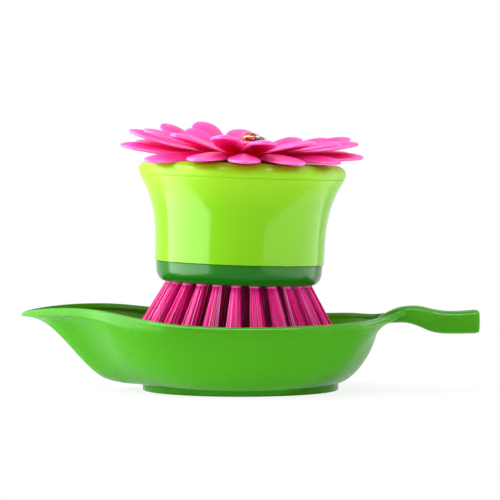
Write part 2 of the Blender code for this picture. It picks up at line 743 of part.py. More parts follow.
def strand(bm, bearing, out, splay):
    """One bristle from inside its root to its tip, out from the tuft's middle in this direction."""
    foot = Vector((out * math.cos(bearing), out * math.sin(bearing), 0))
    tip = Vector((BRISTLE_DROP * math.tan(splay), 0, -BRISTLE_DROP)) + foot * TUFT_FLARE_SHARE
    start = foot + (tip - foot) / BRISTLE_DROP * (ROOT_STUB - SINK)
    loops = []
    for centre in (start, tip):
        matrix = Matrix.Translation(centre) @ Matrix.Rotation(bearing, 4, "Z")
        verts = bmesh.ops.create_circle(
            bm, cap_ends=True, segments=STRAND_SIDES, radius=STRAND_RADIUS, matrix=matrix
        )["verts"]
        loops.append(list({edge for vert in verts for edge in vert.link_edges}))
    bridge_rings(bm, loops)


def tuft_mesh(name, splay, brush):
    """A root with its collar below the block, and the bristles that fan out of it, as one solid."""
    bm = bmesh.new()
    bmesh.ops.create_cone(
        bm,
        cap_ends=True,
        segments=ROOT_SIDES,
        radius1=ROOT_RADIUS,
        radius2=ROOT_RADIUS,
        depth=ROOT_DEPTH + ROOT_STUB,
        matrix=Matrix.Translation((0, 0, (ROOT_DEPTH - ROOT_STUB) / 2)),
    )
    root = place(name + "_root", to_mesh(bm, name + "_root"), "bristle_pink", brush)
    bm = bmesh.new()
    strand(bm, 0, 0, splay)
    for step in range(STRANDS_ROUND):
        strand(bm, 2 * math.pi * step / STRANDS_ROUND, STRAND_RING, splay)
    strands = place(name + "_strands", to_mesh(bm, name + "_strands"), "bristle_pink", brush)
    add_boolean(root, strands, "UNION")
    graph = bpy.context.evaluated_depsgraph_get()
    mesh = bpy.data.meshes.new_from_object(root.evaluated_get(graph))
    bpy.data.objects.remove(root)
    return mesh


def build_tufts(brush):
    """Every tuft in its hole, three rings of them."""
    tufts = []
    for ring, (name, radius) in enumerate(zip(RING_NAMES, RINGS)):
        mesh = tuft_mesh("tuft_" + name, math.radians(TUFT_SPLAYS[ring]), brush)
        for number, angle in enumerate(root_angles(ring), 1):
            tuft = place(f"tuft_{name}_{number:02d}", mesh, "bristle_pink", brush)
            tuft.location = (radius * math.cos(angle), radius * math.sin(angle), 0)
            tuft.rotation_euler.z = angle
            tufts.append(tuft)
    return tufts


def seat(brush, dish, tufts):
    """Lowers the brush until its first bristle is just off the dish."""
    bpy.context.view_layer.update()
    tree = BVHTree.FromObject(dish, bpy.context.evaluated_depsgraph_get())
    points = [tuft.matrix_world @ vertex.co for tuft in tufts for vertex in tuft.data.vertices]
    hits = [tree.ray_cast(point, Vector((0, 0, -1))) for point in points]
    brush.location.z -= min(hit[3] for hit in hits if hit[3] is not None) - SEAT_DROP


def main():
    """Builds every piece."""
    clear_scene()
    dish = build_dish()
    brush = bpy.data.objects.new("brush_frame", None)
    bpy.context.scene.collection.objects.link(brush)
    brush.location = (BOWL_X - BRUSH_SETBACK, 0, TRIAL_HEIGHT)
    brush.rotation_euler.y = math.radians(BRUSH_TILT)
    build_block(brush)
    build_pot(brush)
    build_lid(brush)
    build_petals(brush)
    button = build_button(brush)
    build_fixing(brush)
    build_ladybird(brush, button)
    seat(brush, dish, build_tufts(brush))


main()
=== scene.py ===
"""The looks of a palm dish brush that stands in its leaf dish."""

import math
import random

import bmesh
import bpy
from mathutils import Matrix, Vector


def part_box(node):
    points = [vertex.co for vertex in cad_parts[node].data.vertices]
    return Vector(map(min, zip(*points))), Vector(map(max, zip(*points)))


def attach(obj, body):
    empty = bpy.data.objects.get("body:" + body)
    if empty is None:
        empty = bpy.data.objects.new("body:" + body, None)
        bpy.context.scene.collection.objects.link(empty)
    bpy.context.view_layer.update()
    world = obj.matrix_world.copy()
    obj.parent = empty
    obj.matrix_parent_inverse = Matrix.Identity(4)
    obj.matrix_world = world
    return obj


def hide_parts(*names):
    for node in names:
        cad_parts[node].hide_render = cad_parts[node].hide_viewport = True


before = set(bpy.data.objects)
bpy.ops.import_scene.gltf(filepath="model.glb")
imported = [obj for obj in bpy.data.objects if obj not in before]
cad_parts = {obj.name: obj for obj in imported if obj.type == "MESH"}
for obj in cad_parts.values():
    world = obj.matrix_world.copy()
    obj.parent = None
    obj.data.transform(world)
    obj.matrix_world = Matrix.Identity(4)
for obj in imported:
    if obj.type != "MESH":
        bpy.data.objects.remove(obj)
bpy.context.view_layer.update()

MM = 0.001
DISH_LOW, DISH_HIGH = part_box("leaf_dish")

# Leaf dish, as long and as wide as its CAD solid
STEM_REACH = 29.5 * MM
LEAF_LENGTH = DISH_HIGH.x - DISH_LOW.x - STEM_REACH
LEAF_HALF_WIDTH = DISH_HIGH.y
RIM_HEIGHT = 29.7 * MM
DISH_WALL = 2.1 * MM
LIP_DEPTH = 2.2 * MM
LIP_HEIGHT = 2.2 * MM
ROLL_HEIGHT = 1.6 * MM
FOOT_HEIGHT = 3.2 * MM
FOOT_WALL = 2.6 * MM
FOOT_SETBACK = 0.8 * MM
FOOT_EDGE = 0.5 * MM
BELLY_DIP = 1.1 * MM
STEM_LENGTH = 44.0 * MM
STEM_WIDTH = 11.0 * MM
STEM_END_ROUND = 0.9 * MM

# Handle: block, pot and lid, with heights above the underside of the block
BLOCK_RADIUS = 35.4 * MM
BLOCK_HEIGHT = 8.7 * MM
BLOCK_TAPER = 0.2 * MM
BLOCK_CORNER = 3.8 * MM
BLOCK_CORNER_HEIGHT = 6.0 * MM
BLOCK_EDGE = 0.3 * MM
SPIGOT_RADIUS = 33.5 * MM
SPIGOT_HEIGHT = 7.0 * MM
SPIGOT_WALL = 2.4 * MM
POT_RADIUS = 36.0 * MM
POT_HEIGHT = 35.6 * MM
POT_WALL = 2.2 * MM
POT_TOP_RADIUS = 43.3 * MM
SEAM = 0.3 * MM
SEAM_FILL = 0.24 * MM
SEAM_EDGE = 0.1 * MM
WELD_GAP = 0.003 * MM
LID_RADIUS = 44.1 * MM
LID_SIDE = 2.0 * MM
LID_SHOULDER = 5.5 * MM
LID_DOME = 4.1 * MM
LID_BULGE = 0.4 * MM
LID_SWELL = 0.1 * MM
LID_HOLLOW = 2.7 * MM
SKIRT_DEPTH = 5.0 * MM
SKIRT_WALL = 2.0 * MM
PAD_RADIUS = 17.0 * MM
PAD_HEIGHT = 0.35 * MM
PAD_GAP = 0.05 * MM
POST_RADIUS = 3.4 * MM

# Flower
LOWER_RADIUS = 52.0 * MM
UPPER_RADIUS = 49.5 * MM
LOWER_HUB_RADIUS = 16.0 * MM
UPPER_HUB_RADIUS = 12.0 * MM
HUB_WALL = 1.6 * MM
PETAL_RISE = 5.0 * MM
LOWER_WIDTH = 13.2 * MM
UPPER_WIDTH = 12.4 * MM
PETAL_WALL = 1.25 * MM
PETAL_SPOON = 2.4 * MM
PETAL_FLUTE = 0.25 * MM
BUTTON_RADIUS = 8.0 * MM
BUTTON_EDGE = 2.0 * MM
BUTTON_DOME = 2.9 * MM
BUTTON_CROWN = 0.9 * MM
BUTTON_CAP = 1.7 * MM
BUTTON_STEP = 1.0 * MM
WASHER_WALL = 0.8 * MM

# Ladybird
LADYBIRD_LENGTH = 8.6 * MM
LADYBIRD_WIDTH = 7.8 * MM
LADYBIRD_HEIGHT = 3.5 * MM
LADYBIRD_SHIFT = 2.9 * MM
BELLY_WALL = 1.0 * MM
HEAD_RADIUS = 1.5 * MM
COLLAR_LENGTH = 2.6 * MM
COLLAR_HEIGHT = 1.9 * MM
LEG_RADIUS = 0.22 * MM
FEELER_RADIUS = 0.12 * MM
SPOT_RADIUS = 0.95 * MM
MARK_RADIUS = 0.8 * MM
MARK_HEIGHT = 1.2 * MM
CASE_SEAM = 0.14 * MM
CASE_LIFT = 0.6 * MM

# Bristle tufts
ROOT_RADIUS = 2.2 * MM
ROOT_DEPTH = 5.4 * MM
ROOT_STUB = 0.8 * MM
ROOT_EDGE = 0.25 * MM
BUNCH_RADIUS = 1.7 * MM
BRISTLE_RADIUS = 0.29 * MM
BRISTLE_DROP = 31.0 * MM
BRISTLE_UNEVEN = 1.2 * MM
BRISTLE_STRAY = 0.5 * MM

# Each ring of tufts: its name, its radius, how many it has and how far they splay in degrees
TUFT_RINGS = (
    ("outer", 29.0 * MM, 24, 27.0),
    ("middle", 20.0 * MM, 15, 17.0),
    ("inner", 10.5 * MM, 6, 8.0),
)

# Studio, with the lens in millimetres, and reaches in metres
CAMERA_DISTANCE = 1264.0 * MM
CAMERA_HEIGHT = 104.3 * MM
FOCAL_LENGTH = 214.6
SENSOR_WIDTH = 36.0
WORLD_LIGHT = 0.28
FLOOR_REACH = 20.0
FLOOR_WHITE = (0.95, 0.95, 0.95, 1)
PURE_WHITE = (1, 1, 1, 1)
FLOOR_GLOW_RANGE = (0.12, 0.36)
FLOOR_GLOW_BLENDS = (0.86, 1.0)

# Each lamp's name and use, then its radiance, its size and place in metres and its turn in degrees. The cards
# stand just past the dish's ends.
LAMPS = (
    ("left_card", "shine", 8.0, (0.168, 0.29), (-0.12, -0.067, 0.155), (90, 0, -90)),
    ("right_card", "shine", 2.4, (0.282, 0.29), (0.12, -0.075, 0.155), (90, 0, 90)),
    ("top_strip", "shine", 36.0, (0.7, 0.1), (-0.1, -0.16, 0.5), (0, 0, 0)),
    ("left_softbox", "fill", 5.6, (0.6, 0.8), (-0.5, 0.05, 0.4), (90, 0, -93.5)),
    ("left_table", "fill", 0.8, (0.4, 0.4), (-0.3, 0.1, 0.0005), (180, 0, -62)),
    ("right_softbox", "fill", 0.9, (0.8, 0.8), (0.35, 0.06, 0.4), (90, 0, 100)),
    ("top_softbox", "fill", 1.6, (1.0, 1.0), (0, 0, 0.9), (0, 0, 0)),
    ("front_softbox", "fill", 0.62, (1.6, 0.8), (0, -1.0, 0.8), (54, 0, 0)),
    ("front_table", "fill", 0.55, (0.3, 0.42), (0, -0.245, 0.0005), (180, 0, 0)),
)

# Counts
TURN_STEPS = 128
SMALL_TURN_STEPS = 48
EDGE_STEPS = 3
ROOT_SIDES = 16
ROOT_EDGE_STEPS = 2
LIMB_SIDES = 8
LIMB_RINGS = 6
BELLY_RINGS = 16
COLLAR_SIDES = 32
COLLAR_RINGS = 24
HEAD_SIDES = 24
HEAD_RINGS = 16
BRISTLE_SIDES = 4
BRISTLE_STEPS = 4
BRISTLES = 64
BUNCHES = 4
PETAL_COLUMNS = 6
PETAL_ROWS = 11
POT_STEPS = 24
WALL_RINGS = 10
STATION_STEPS = 3
STEM_SIDES = 16
STEM_STEPS = 2
ARC_STEPS = 8
LIP_STEPS = 7
DECK_STEPS = 6

# Powers that bend the curves
WALL_CURVE_POWER = 4 / 3
STEM_SQUARE_POWER = 0.66
POT_FLARE_POWER = 3
PETAL_EASE_POWER = 1.3
PETAL_END_POWER = 8
PETAL_RIM_POWERS = (6, 4)

# Angles in degrees
CAMERA_DIP = 2.04
BRUSH_TILT = 1.9
TUFT_TURN = -92
SHARP_ANGLE = 40
DECK_SLOPE = 84
CROWN_SLOPE = 20

# Shares of the sizes above
BOWL_SHARE = 0.565
FOOT_LENGTH_SHARE = 0.251
FOOT_WIDTH_SHARE = 0.6725
STEM_ROOT_SHARE = 0.9124
TUFT_FLARE_SHARE = 2.4
ROLL_SHARES = (0.04, 0.30, 0.56)
TIP_CURVE_SHARES = (0.075, 0.785)
TIP_BLEND_SHARES = (0.28, 0.08)
NECK_BLEND_SHARES = (0.86, 0.95)
NECK_FLANGE_SHARES = (0.4, 0.17)
NECK_WALL_SHARE = 0.352
FLOOR_SHARES = (0.85, 0.5, 0.15)
STEM_END_SHARES = (0.5, 0.05)
PETAL_WAIST_SHARE = 0.5
PETAL_FULL_SHARE = 0.5
PETAL_TIP_SHARE = 0.82
PETAL_END_SHARE = 0.32
PETAL_ROUND_SHARE = 0.28
PETAL_ROOM_SHARE = 0.96
PETAL_SPOON_SHARE = 0.3
BELLY_SHARE = 0.9
COLLAR_LENGTH_SHARE = 0.95
COLLAR_WIDTH_SHARE = 0.72
HEAD_SHARES = (0.9, 1.15, 0.8)
HEAD_SHIFT_SHARE = 0.2
LIMB_TAPER_SHARE = 0.8
MARK_SHARE = 0.25
SPOT_SOFT_SHARE = 0.125

# Half of the leaf's rim, from its tip to the end of the neck: along the leaf, across it, and up
RIM_SHARES = (
    (0.000, 0.000, 1.120),
    (0.022, 0.070, 1.150),
    (0.062, 0.165, 1.180),
    (0.118, 0.290, 1.200),
    (0.184, 0.450, 1.195),
    (0.245, 0.665, 1.160),
    (0.330, 0.880, 1.090),
    (0.423, 0.980, 1.028),
    (0.565, 1.000, 1.000),
    (0.695, 0.930, 1.006),
    (0.795, 0.790, 1.017),
    (0.861, 0.640, 1.035),
    (0.897, 0.470, 1.040),
    (0.922, 0.300, 1.052),
    (0.944, 0.190, 1.075),
    (0.965, 0.135, 1.105),
    (0.984, 0.110, 1.135),
    (0.996, 0.062, 1.145),
    (1.000, 0.000, 1.145),
)

# Stem, from its root in the bowl's wall to its end: along it, half its width, underside and top
STEM_SHARES = (
    (0.000, 0.300, 0.905, 1.020),
    (0.120, 0.380, 0.948, 1.125),
    (0.230, 0.460, 0.956, 1.185),
    (0.310, 0.520, 0.950, 1.202),
    (0.415, 0.510, 0.900, 1.203),
    (0.540, 0.480, 0.820, 1.160),
    (0.680, 0.485, 0.796, 1.128),
    (0.840, 0.495, 0.798, 1.134),
    (0.960, 0.500, 0.800, 1.150),
)

# Each petal's direction in degrees, then its length and the rise of its tip as shares, and its lean
LOWER_SHARES = (
    (22, 0.98, 0.58, 0.1),
    (47, 0.98, 0.68, 0.0),
    (70, 0.96, 0.78, 0.0),
    (92, 0.96, 2.46, 0.0),
    (112, 0.98, 3.02, 0.0),
    (133.5, 0.98, 2.74, 0.0),
    (155, 0.98, 1.16, 0.0),
    (188, 1.00, 0.84, -0.18),
    (219, 0.98, -0.40, -0.10),
    (248, 0.98, -0.16, 0.0),
    (271, 1.00, -0.20, 0.0),
    (296, 0.99, -0.22, 0.0),
    (324, 0.95, -0.08, 0.08),
    (353, 0.98, 0.42, 0.14),
)
UPPER_SHARES = (
    (18, 0.97, 1.60, 0.1),
    (38, 0.96, 1.46, 0.1),
    (61, 0.96, 1.46, 0.0),
    (88, 0.94, 1.82, 0.0),
    (118, 0.98, 2.02, 0.0),
    (141, 0.96, 1.64, 0.0),
    (162, 0.93, 1.46, -0.1),
    (186, 0.98, 1.66, -0.20),
    (212, 0.98, 1.74, -0.16),
    (234, 0.98, 1.42, -0.12),
    (260, 1.00, 1.40, 0.0),
    (281, 1.00, 1.04, 0.0),
    (305, 1.00, 1.08, 0.10),
    (328, 0.96, 1.11, 0.10),
    (351, 0.99, 1.16, 0.16),
)

# Spots on the wing case: along it and across it, in half lengths and half widths
SPOT_SHARES = ((0.42, 0.0), (0.12, 0.52), (0.12, -0.52), (-0.42, 0.40), (-0.42, -0.40), (-0.1, 0.0))

# Where each pair of legs leaves the belly, in half lengths
LEG_SHARES = (0.5, 0.1, -0.35)

# A leg's hip, knee and foot: along, as a share of that place, across, in half widths, and up, in belly walls
JOINT_SHARES = ((1.0, 0.7, 0.5), (1.15, 1.08, 0.9), (1.35, 1.3, 0.0))

# A feeler, from the head to its end: past the nose, to the side, and up from the belly's underside
FEELER_POINTS = (
    (-0.29 * MM, 0.6 * MM, 1.4 * MM),
    (0.5 * MM, 1.3 * MM, 1.9 * MM),
    (0.7 * MM, 1.9 * MM, 1.7 * MM),
)

# Colours, as linear red, green and blue
LEAF_GREENS = ((0.052, 0.290, 0.003), (0.049, 0.280, 0.003))
LIME_GREENS = ((0.203, 0.535, 0.001), (0.190, 0.515, 0.001))
# Painted light: the top of the pot and the lid are tinted yellower, standing in for how the light falls there
PAINTED_TOP_LIGHT = (0.262, 0.56, 0.001)
DEEP_GREENS = ((0.009, 0.155, 0.005), (0.008, 0.145, 0.005))
# Painted shade: the petals turn crimson toward the middle, where the upper petals and the button shade them
PAINTED_PETAL_SHADE = (0.92, 0.001, 0.08)
PETAL_BLADE = (0.88, 0.004, 0.27)
PETAL_CLOUD = (0.82, 0.002, 0.22)
# Painted highlight: the petals are paler along their edges and tips, where they catch the light
PAINTED_PETAL_HIGHLIGHT = (0.90, 0.14, 0.52)
BUTTON_PINKS = ((0.55, 0.004, 0.09), (0.82, 0.008, 0.20))
NYLON_PINKS = ((0.60, 0.001, 0.14), (0.98, 0.003, 0.34))
# Painted highlight: the palest bristles stand in for the glints on the glossy nylon
PAINTED_NYLON_HIGHLIGHT = (1.0, 0.36, 0.78)
NYLON_STREAK = (0.70, 0.001, 0.17)
CASE_REDS = ((0.80, 0.09, 0.010), (0.70, 0.05, 0.010))
SPOT_BLACK = (0.012, 0.010, 0.010)
BODY_BLACKS = ((0.010, 0.010, 0.012), (0.022, 0.020, 0.022))
MARK_WHITE = (0.80, 0.78, 0.74)
STEEL_GREYS = ((0.60, 0.60, 0.62), (0.50, 0.50, 0.52))

# Each material's finish: the scale of the pattern in its colour and in its gloss, its lowest and highest
# roughness, and the scale, strength and height of its grain
FINISHES = {
    "leaf_green_plastic": (28.0, 90.0, 0.204, 0.288, 220.0, 0.01, 0.2 * MM),
    "lime_plastic": (28.0, 90.0, 0.102, 0.144, 220.0, 0.02, 0.2 * MM),
    "deep_green_plastic": (28.0, 90.0, 0.17, 0.24, 220.0, 0.015, 0.2 * MM),
    "soft_pink_plastic": (60.0, 120.0, 0.36, 0.46, 700.0, 0.05, 0.1 * MM),
    "deep_pink_plastic": (900.0, 150.0, 0.30, 0.42, 900.0, 0.6, 0.25 * MM),
    "pink_nylon": (400.0, 200.0, 0.26, 0.40, 1500.0, 0.1, 0.05 * MM),
    "wing_case_red": (300.0, 500.0, 0.10, 0.18, 1200.0, 0.1, 0.05 * MM),
    "ladybird_black_paint": (300.0, 500.0, 0.12, 0.22, 1200.0, 0.1, 0.05 * MM),
    "plain_steel": (300.0, 900.0, 0.22, 0.38, 2500.0, 0.15, 0.05 * MM),
}

# What else a material's shader is set to
SHADER_VALUES = {
    "leaf_green_plastic": {"Specular IOR Level": 0.1},
    "lime_plastic": {"Specular IOR Level": 0.19},
    "deep_green_plastic": {"Specular IOR Level": 0.2},
    "soft_pink_plastic": {
        "Specular IOR Level": 0.3,
        "Subsurface Weight": 0.6,
        "Subsurface Radius": (1.0, 0.1, 0.35),
        "Subsurface Scale": 3.0 * MM,
    },
    "pink_nylon": {
        "Specular IOR Level": 0.15,
        "Sheen Weight": 0.2,
        "Sheen Roughness": 0.4,
        "Sheen Tint": (1.0, 0.06, 0.40, 1.0),
    },
    "plain_steel": {"Metallic": 1.0},
}

# Patterns: a blend is how strongly one shows, and a range is where it sets in and where it is full
NOISE_DETAIL = 3.0
NOISE_RANGE = (0.3, 0.7)
STIPPLE_RANGE = (0.0, 0.6)
# Heights over which the painted yellower light and the satin toward the lid set in
LID_RANGE = (78.0 * MM, 90.0 * MM)
LID_SATIN = 0.2
# Where the painted shade toward the petals' middle gives way, by distance from the brush's axis
PETAL_SHADE_RANGE = (12.0 * MM, 32.0 * MM)
PETAL_CLOUD_BLEND = 0.3
# How the painted highlight along the petals' edges and tips blends in
PETAL_HIGHLIGHT_BLENDS = (0.05, 0.8)
PETAL_HIGHLIGHT_RANGE = (0.1, 1.0)
# The roots' shade reaches into the pale range, so they carry part of the painted highlight along the collars'
# top edges
ROOT_HIGHLIGHT_SHADE = 0.87
NYLON_DARK_RANGE = (0.1, 0.45)
# Which bristles carry the painted highlight
NYLON_HIGHLIGHT_RANGE = (0.82, 0.92)
NYLON_STREAK_BLEND = 0.2

# Places and radii that several pieces share
TIP_X = DISH_LOW.x
BOWL_X = TIP_X + BOWL_SHARE * LEAF_LENGTH
STEM_X = TIP_X + STEM_ROOT_SHARE * LEAF_LENGTH
POT_BOTTOM = BLOCK_HEIGHT + SEAM
LID_BOTTOM = POT_BOTTOM + POT_HEIGHT + SEAM
LID_TOP = LID_BOTTOM + LID_SIDE + LID_DOME
LID_UNDERSIDE = LID_BOTTOM + LID_HOLLOW
PAD_TOP = LID_TOP + LID_BULGE + PAD_HEIGHT
LOWER_HUB = PAD_TOP + PAD_GAP
UPPER_HUB = LOWER_HUB + HUB_WALL + SEAM
BUTTON_BOTTOM = UPPER_HUB + HUB_WALL + SEAM
POST_END = LID_UNDERSIDE + SEAM
POST_HOLE_RADIUS = POST_RADIUS + SEAM
ROOT_HOLE_RADIUS = ROOT_RADIUS + SEAM


def brush_frame():
    """Where the block's underside lies in the room, found from the washer's middle, on the brush's axis."""
    low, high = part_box("flower_washer")
    middle = LID_UNDERSIDE - SEAM - WASHER_WALL / 2
    turn = Matrix.Rotation(math.radians(BRUSH_TILT), 4, "Y")
    return Matrix.Translation((low + high) / 2) @ turn @ Matrix.Translation((0, 0, -middle))


BRUSH = brush_frame()


def to_mesh(bm, name, sheet=False):
    """Closes a bmesh off as a smooth mesh. A sheet keeps the way its faces were drawn."""
    if not sheet:
        bmesh.ops.recalc_face_normals(bm, faces=bm.faces)
    mesh = bpy.data.meshes.new(name)
    bm.to_mesh(mesh)
    bm.free()
    mesh.shade_smooth()
    return mesh


def crisp(mesh):
    """The mesh, shaded smooth between its sharp edges."""
    mesh.shade_smooth()
    mesh.set_sharp_from_angle(angle=math.radians(SHARP_ANGLE))
    return mesh


def linked(name, data):
    """A new object in the scene."""
    obj = bpy.data.objects.new(name, data)
    bpy.context.scene.collection.objects.link(obj)
    return obj


def show(name, mesh, material, slot, *nodes, body="brush"):
    """A finished piece, which stands for these CAD nodes and rides on this body."""
    piece = linked(name, mesh)
    mesh.materials.clear()
    mesh.materials.append(material)
    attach(piece, body)
    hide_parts(*nodes)


def shaped(name, mesh, *modifiers):
    """The mesh as these modifiers leave it, each given as its kind and settings.

    The objects that they use are removed.
    """
    obj = linked(name, mesh)
    used = []
    for kind, settings in modifiers:
        modifier = obj.modifiers.new(kind.lower(), kind)
        for key, value in settings.items():
            setattr(modifier, key, value)
        used += [value for value in settings.values() if isinstance(value, bpy.types.Object)]
    graph = bpy.context.evaluated_depsgraph_get()
    result = bpy.data.meshes.new_from_object(obj.evaluated_get(graph))
    for spent in [obj, *used]:
        bpy.data.objects.remove(spent)
    return result


def subdivided(levels):
    """A modifier that smooths a mesh by this many levels."""
    return "SUBSURF", {"levels": levels, "render_levels": levels}


def rounded(bm, edge, segments=EDGE_STEPS):
    """Bevels every sharp edge."""
    sharp = [item for item in bm.edges if item.calc_face_angle(0) > math.radians(SHARP_ANGLE)]
    bmesh.ops.bevel(bm, geom=sharp, offset=edge, segments=segments, profile=0.5, affect="EDGES", material=-1)


def turned(profile, edge, steps=TURN_STEPS):
    """A bmesh turned round Z from (radius, height) points, with its sharp edges rounded."""
    bm = bmesh.new()
    points = [bm.verts.new((radius, 0, height)) for radius, height in profile]
    on_axis = profile[0][0] == profile[-1][0] == 0
    ends = points[1:] if on_axis else points[1:] + points[:1]
    edges = [bm.edges.new(pair) for pair in zip(points, ends)]
    bmesh.ops.spin(
        bm,
        geom=points + edges,
        cent=(0, 0, 0),
        axis=(0, 0, 1),
        angle=2 * math.pi,
        steps=steps,
        use_merge=True,
    )
    bmesh.ops.remove_doubles(bm, verts=bm.verts, dist=WELD_GAP)
    bmesh.ops.recalc_face_normals(bm, faces=bm.faces)
    rounded(bm, edge)
    return bm


def rod(bm, sides, start, end, length, place):
    """A closed rod along its own Z, from one radius to the other, with its middle at this place."""
    bmesh.ops.create_cone(
        bm, cap_ends=True, segments=sides, radius1=start, radius2=end, depth=length, matrix=place
    )


def arc(centre, across, up, first, last, steps=ARC_STEPS):
    """Points of a quarter round or less, in (radius, height), from one angle to the other in degrees."""
    angles = [math.radians(first + (last - first) * step / steps) for step in range(steps + 1)]
    return [(centre[0] + across * math.cos(a), centre[1] + up * math.sin(a)) for a in angles]


def smooth_step(value):
    """Eases from 0 to 1."""
    value = min(1, max(0, value))
    return value * value * (3 - 2 * value)


def begin(bm, points):
    """New vertices at these points, joined into a ring."""
    ring = [bm.verts.new(point) for point in points]
    for pair in zip(ring, ring[1:] + ring[:1]):
        bm.edges.new(pair)
    return ring


def grow(bm, row, points, closed=True):
    """Extrudes a row or ring of vertices, moves the new ones to these points and returns them in order."""
    edges = [bm.edges.get(pair) for pair in zip(row, row[1:] + row[:1] if closed else row[1:])]
    made = bmesh.ops.extrude_edge_only(bm, edges=edges)["geom"]
    fresh = {item for item in made if isinstance(item, bmesh.types.BMVert)}
    grown = [next(end for edge in vert.link_edges for end in edge.verts if end in fresh) for vert in row]
    for vert, point in zip(grown, points):
        vert.co = point
    return grown


def between(before, start, end, after, t):
    """A value at this share of the way from start to end, on the smooth curve through all four."""
    slope = end - before
    bend = 2 * before - 5 * start + 4 * end - after
    twist = 3 * start - before - 3 * end + after
    return start + (slope * t + bend * t**2 + twist * t**3) / 2


def curve_through(stations, steps):
    """Points on a smooth curve through the stations, with steps points from each to the next."""
    padded = [stations[0], *stations, stations[-1]]
    points = []
    for corners in zip(padded, padded[1:], padded[2:], padded[3:]):
        for step in range(steps):
            points.append(tuple(between(*values, step / steps) for values in zip(*corners)))
    return points + [stations[-1]]


def rim_points():
    """The rim, as points that go once round the leaf from its tip."""
    half = [
        (TIP_X + along * LEAF_LENGTH, across * LEAF_HALF_WIDTH, up * RIM_HEIGHT)
        for along, across, up in RIM_SHARES
    ]
    mirrored = [(x, -y, z) for x, y, z in half]
    curve = curve_through([mirrored[1], *half, mirrored[-2]], STATION_STEPS)[STATION_STEPS:-STATION_STEPS]
    return curve + [(x, -y, z) for x, y, z in reversed(curve[1:-1])]


def foot_reach(angle):
    """How far the floor reaches from the bowl's centre in this direction, just past the foot ring."""
    length = FOOT_LENGTH_SHARE * LEAF_LENGTH + FOOT_SETBACK
    width = FOOT_WIDTH_SHARE * LEAF_HALF_WIDTH + FOOT_SETBACK
    return length * width / math.hypot(width * math.cos(angle), length * math.sin(angle))


def wall_shares(t):
    """The bowl's own wall: steep under the lip and rounding into the floor."""
    angle = t * math.pi / 2
    return 1 - math.cos(angle) ** WALL_CURVE_POWER, math.sin(angle) ** WALL_CURVE_POWER


def tip_shares(t):
    """Under the leaf's tip: flat at first, then an easy slope into the floor."""
    start, end = TIP_CURVE_SHARES
    return t, smooth_step((t - start) / (end - start))


def neck_shares(t, flange):
    """Under the neck of the stem: a flange for this share of the way in, then the bowl's wall."""
    turn, drop = NECK_FLANGE_SHARES
    if t < turn:
        return flange * t / turn, drop * t / turn
    wall_in, wall_drop = wall_shares((t - turn) / (1 - turn))
    return flange + (1 - flange) * wall_in, drop + (1 - drop) * wall_drop


def section(rim):
    """Points down the dish's outer surface, from one point of the rim toward the floor's middle."""
    x, y, z = rim
    reach, angle = math.hypot(x - BOWL_X, y), math.atan2(y, x - BOWL_X)
    along = (x - TIP_X) / LEAF_LENGTH
    tip_start, tip_full = TIP_BLEND_SHARES
    neck_start, neck_full = NECK_BLEND_SHARES
    tip = smooth_step((tip_start - along) / (tip_start - tip_full))
    neck = smooth_step((along - neck_start) / (neck_full - neck_start))
    foot = foot_reach(angle)
    low = FOOT_HEIGHT - BELLY_DIP * math.sin(angle) ** 2
    full, fading, gone = ROLL_SHARES
    roll = smooth_step(along / full) * smooth_step((gone - along) / (gone - fading))
    lip_height = LIP_HEIGHT + ROLL_HEIGHT * roll
    top = z - lip_height
    lip = arc((reach - LIP_DEPTH, top), LIP_DEPTH, lip_height, 90, 0, LIP_STEPS)
    # Under the neck the wall keeps its own reach, and the flange spans what is left out to the rim
    flange = max(0, 1 - (NECK_WALL_SHARE * LEAF_LENGTH - foot) / (reach - foot))
    wall = []
    for ring in range(1, WALL_RINGS + 1):
        t = ring / WALL_RINGS
        weights = ((wall_shares(t), 1 - tip - neck), (tip_shares(t), tip), (neck_shares(t, flange), neck))
        inward = sum(shares[0] * weight for shares, weight in weights)
        drop = sum(shares[1] * weight for shares, weight in weights)
        wall.append((reach + (foot - reach) * inward, top + (low - top) * drop))
    floor = [(foot * share, FOOT_HEIGHT + (low - FOOT_HEIGHT) * share) for share in FLOOR_SHARES]
    return [Vector((BOWL_X + r * math.cos(angle), r * math.sin(angle), h)) for r, h in lip + wall + floor]


def bowl_mesh():
    """The bowl with its lip, tip and neck, as a wall of even thickness."""
    bm = bmesh.new()
    rings = list(zip(*[section(rim) for rim in rim_points()]))
    row = begin(bm, rings[0])
    for ring in rings[1:]:
        row = grow(bm, row, ring)
    bm.faces.new(row)
    bmesh.ops.recalc_face_normals(bm, faces=bm.faces)
    lowest = min(bm.faces, key=lambda face: face.calc_center_median().z)
    if lowest.normal.z > 0:
        bmesh.ops.reverse_faces(bm, faces=bm.faces)
    wall = {"thickness": DISH_WALL, "offset": -1, "use_even_offset": True}
    return shaped("bowl", to_mesh(bm, "bowl", sheet=True), ("SOLIDIFY", wall), subdivided(1))


def foot_mesh():
    """The oval ring that the dish stands on, reaching up into its floor."""
    outer = FOOT_WIDTH_SHARE * LEAF_HALF_WIDTH
    inner = outer - FOOT_WALL
    top = FOOT_HEIGHT + DISH_WALL / 2
    bm = turned([(inner, 0), (outer, 0), (outer, top), (inner, top)], FOOT_EDGE)
    bmesh.ops.scale(bm, verts=bm.verts, vec=(FOOT_LENGTH_SHARE * LEAF_LENGTH / outer, 1, 1))
    bmesh.ops.translate(bm, verts=bm.verts, vec=(BOWL_X, 0, 0))
    return to_mesh(bm, "foot_ring")


def stem_section(x, half, low, high):
    """A rounded square across the stem."""
    points = []
    for side in range(STEM_SIDES):
        angle = 2 * math.pi * (side + 0.5) / STEM_SIDES
        across, up = math.cos(angle), math.sin(angle)
        wide = math.copysign(abs(across) ** STEM_SQUARE_POWER, across)
        tall = math.copysign(abs(up) ** STEM_SQUARE_POWER, up)
        points.append((x, half * wide, (low + high) / 2 + (high - low) / 2 * tall))
    return points


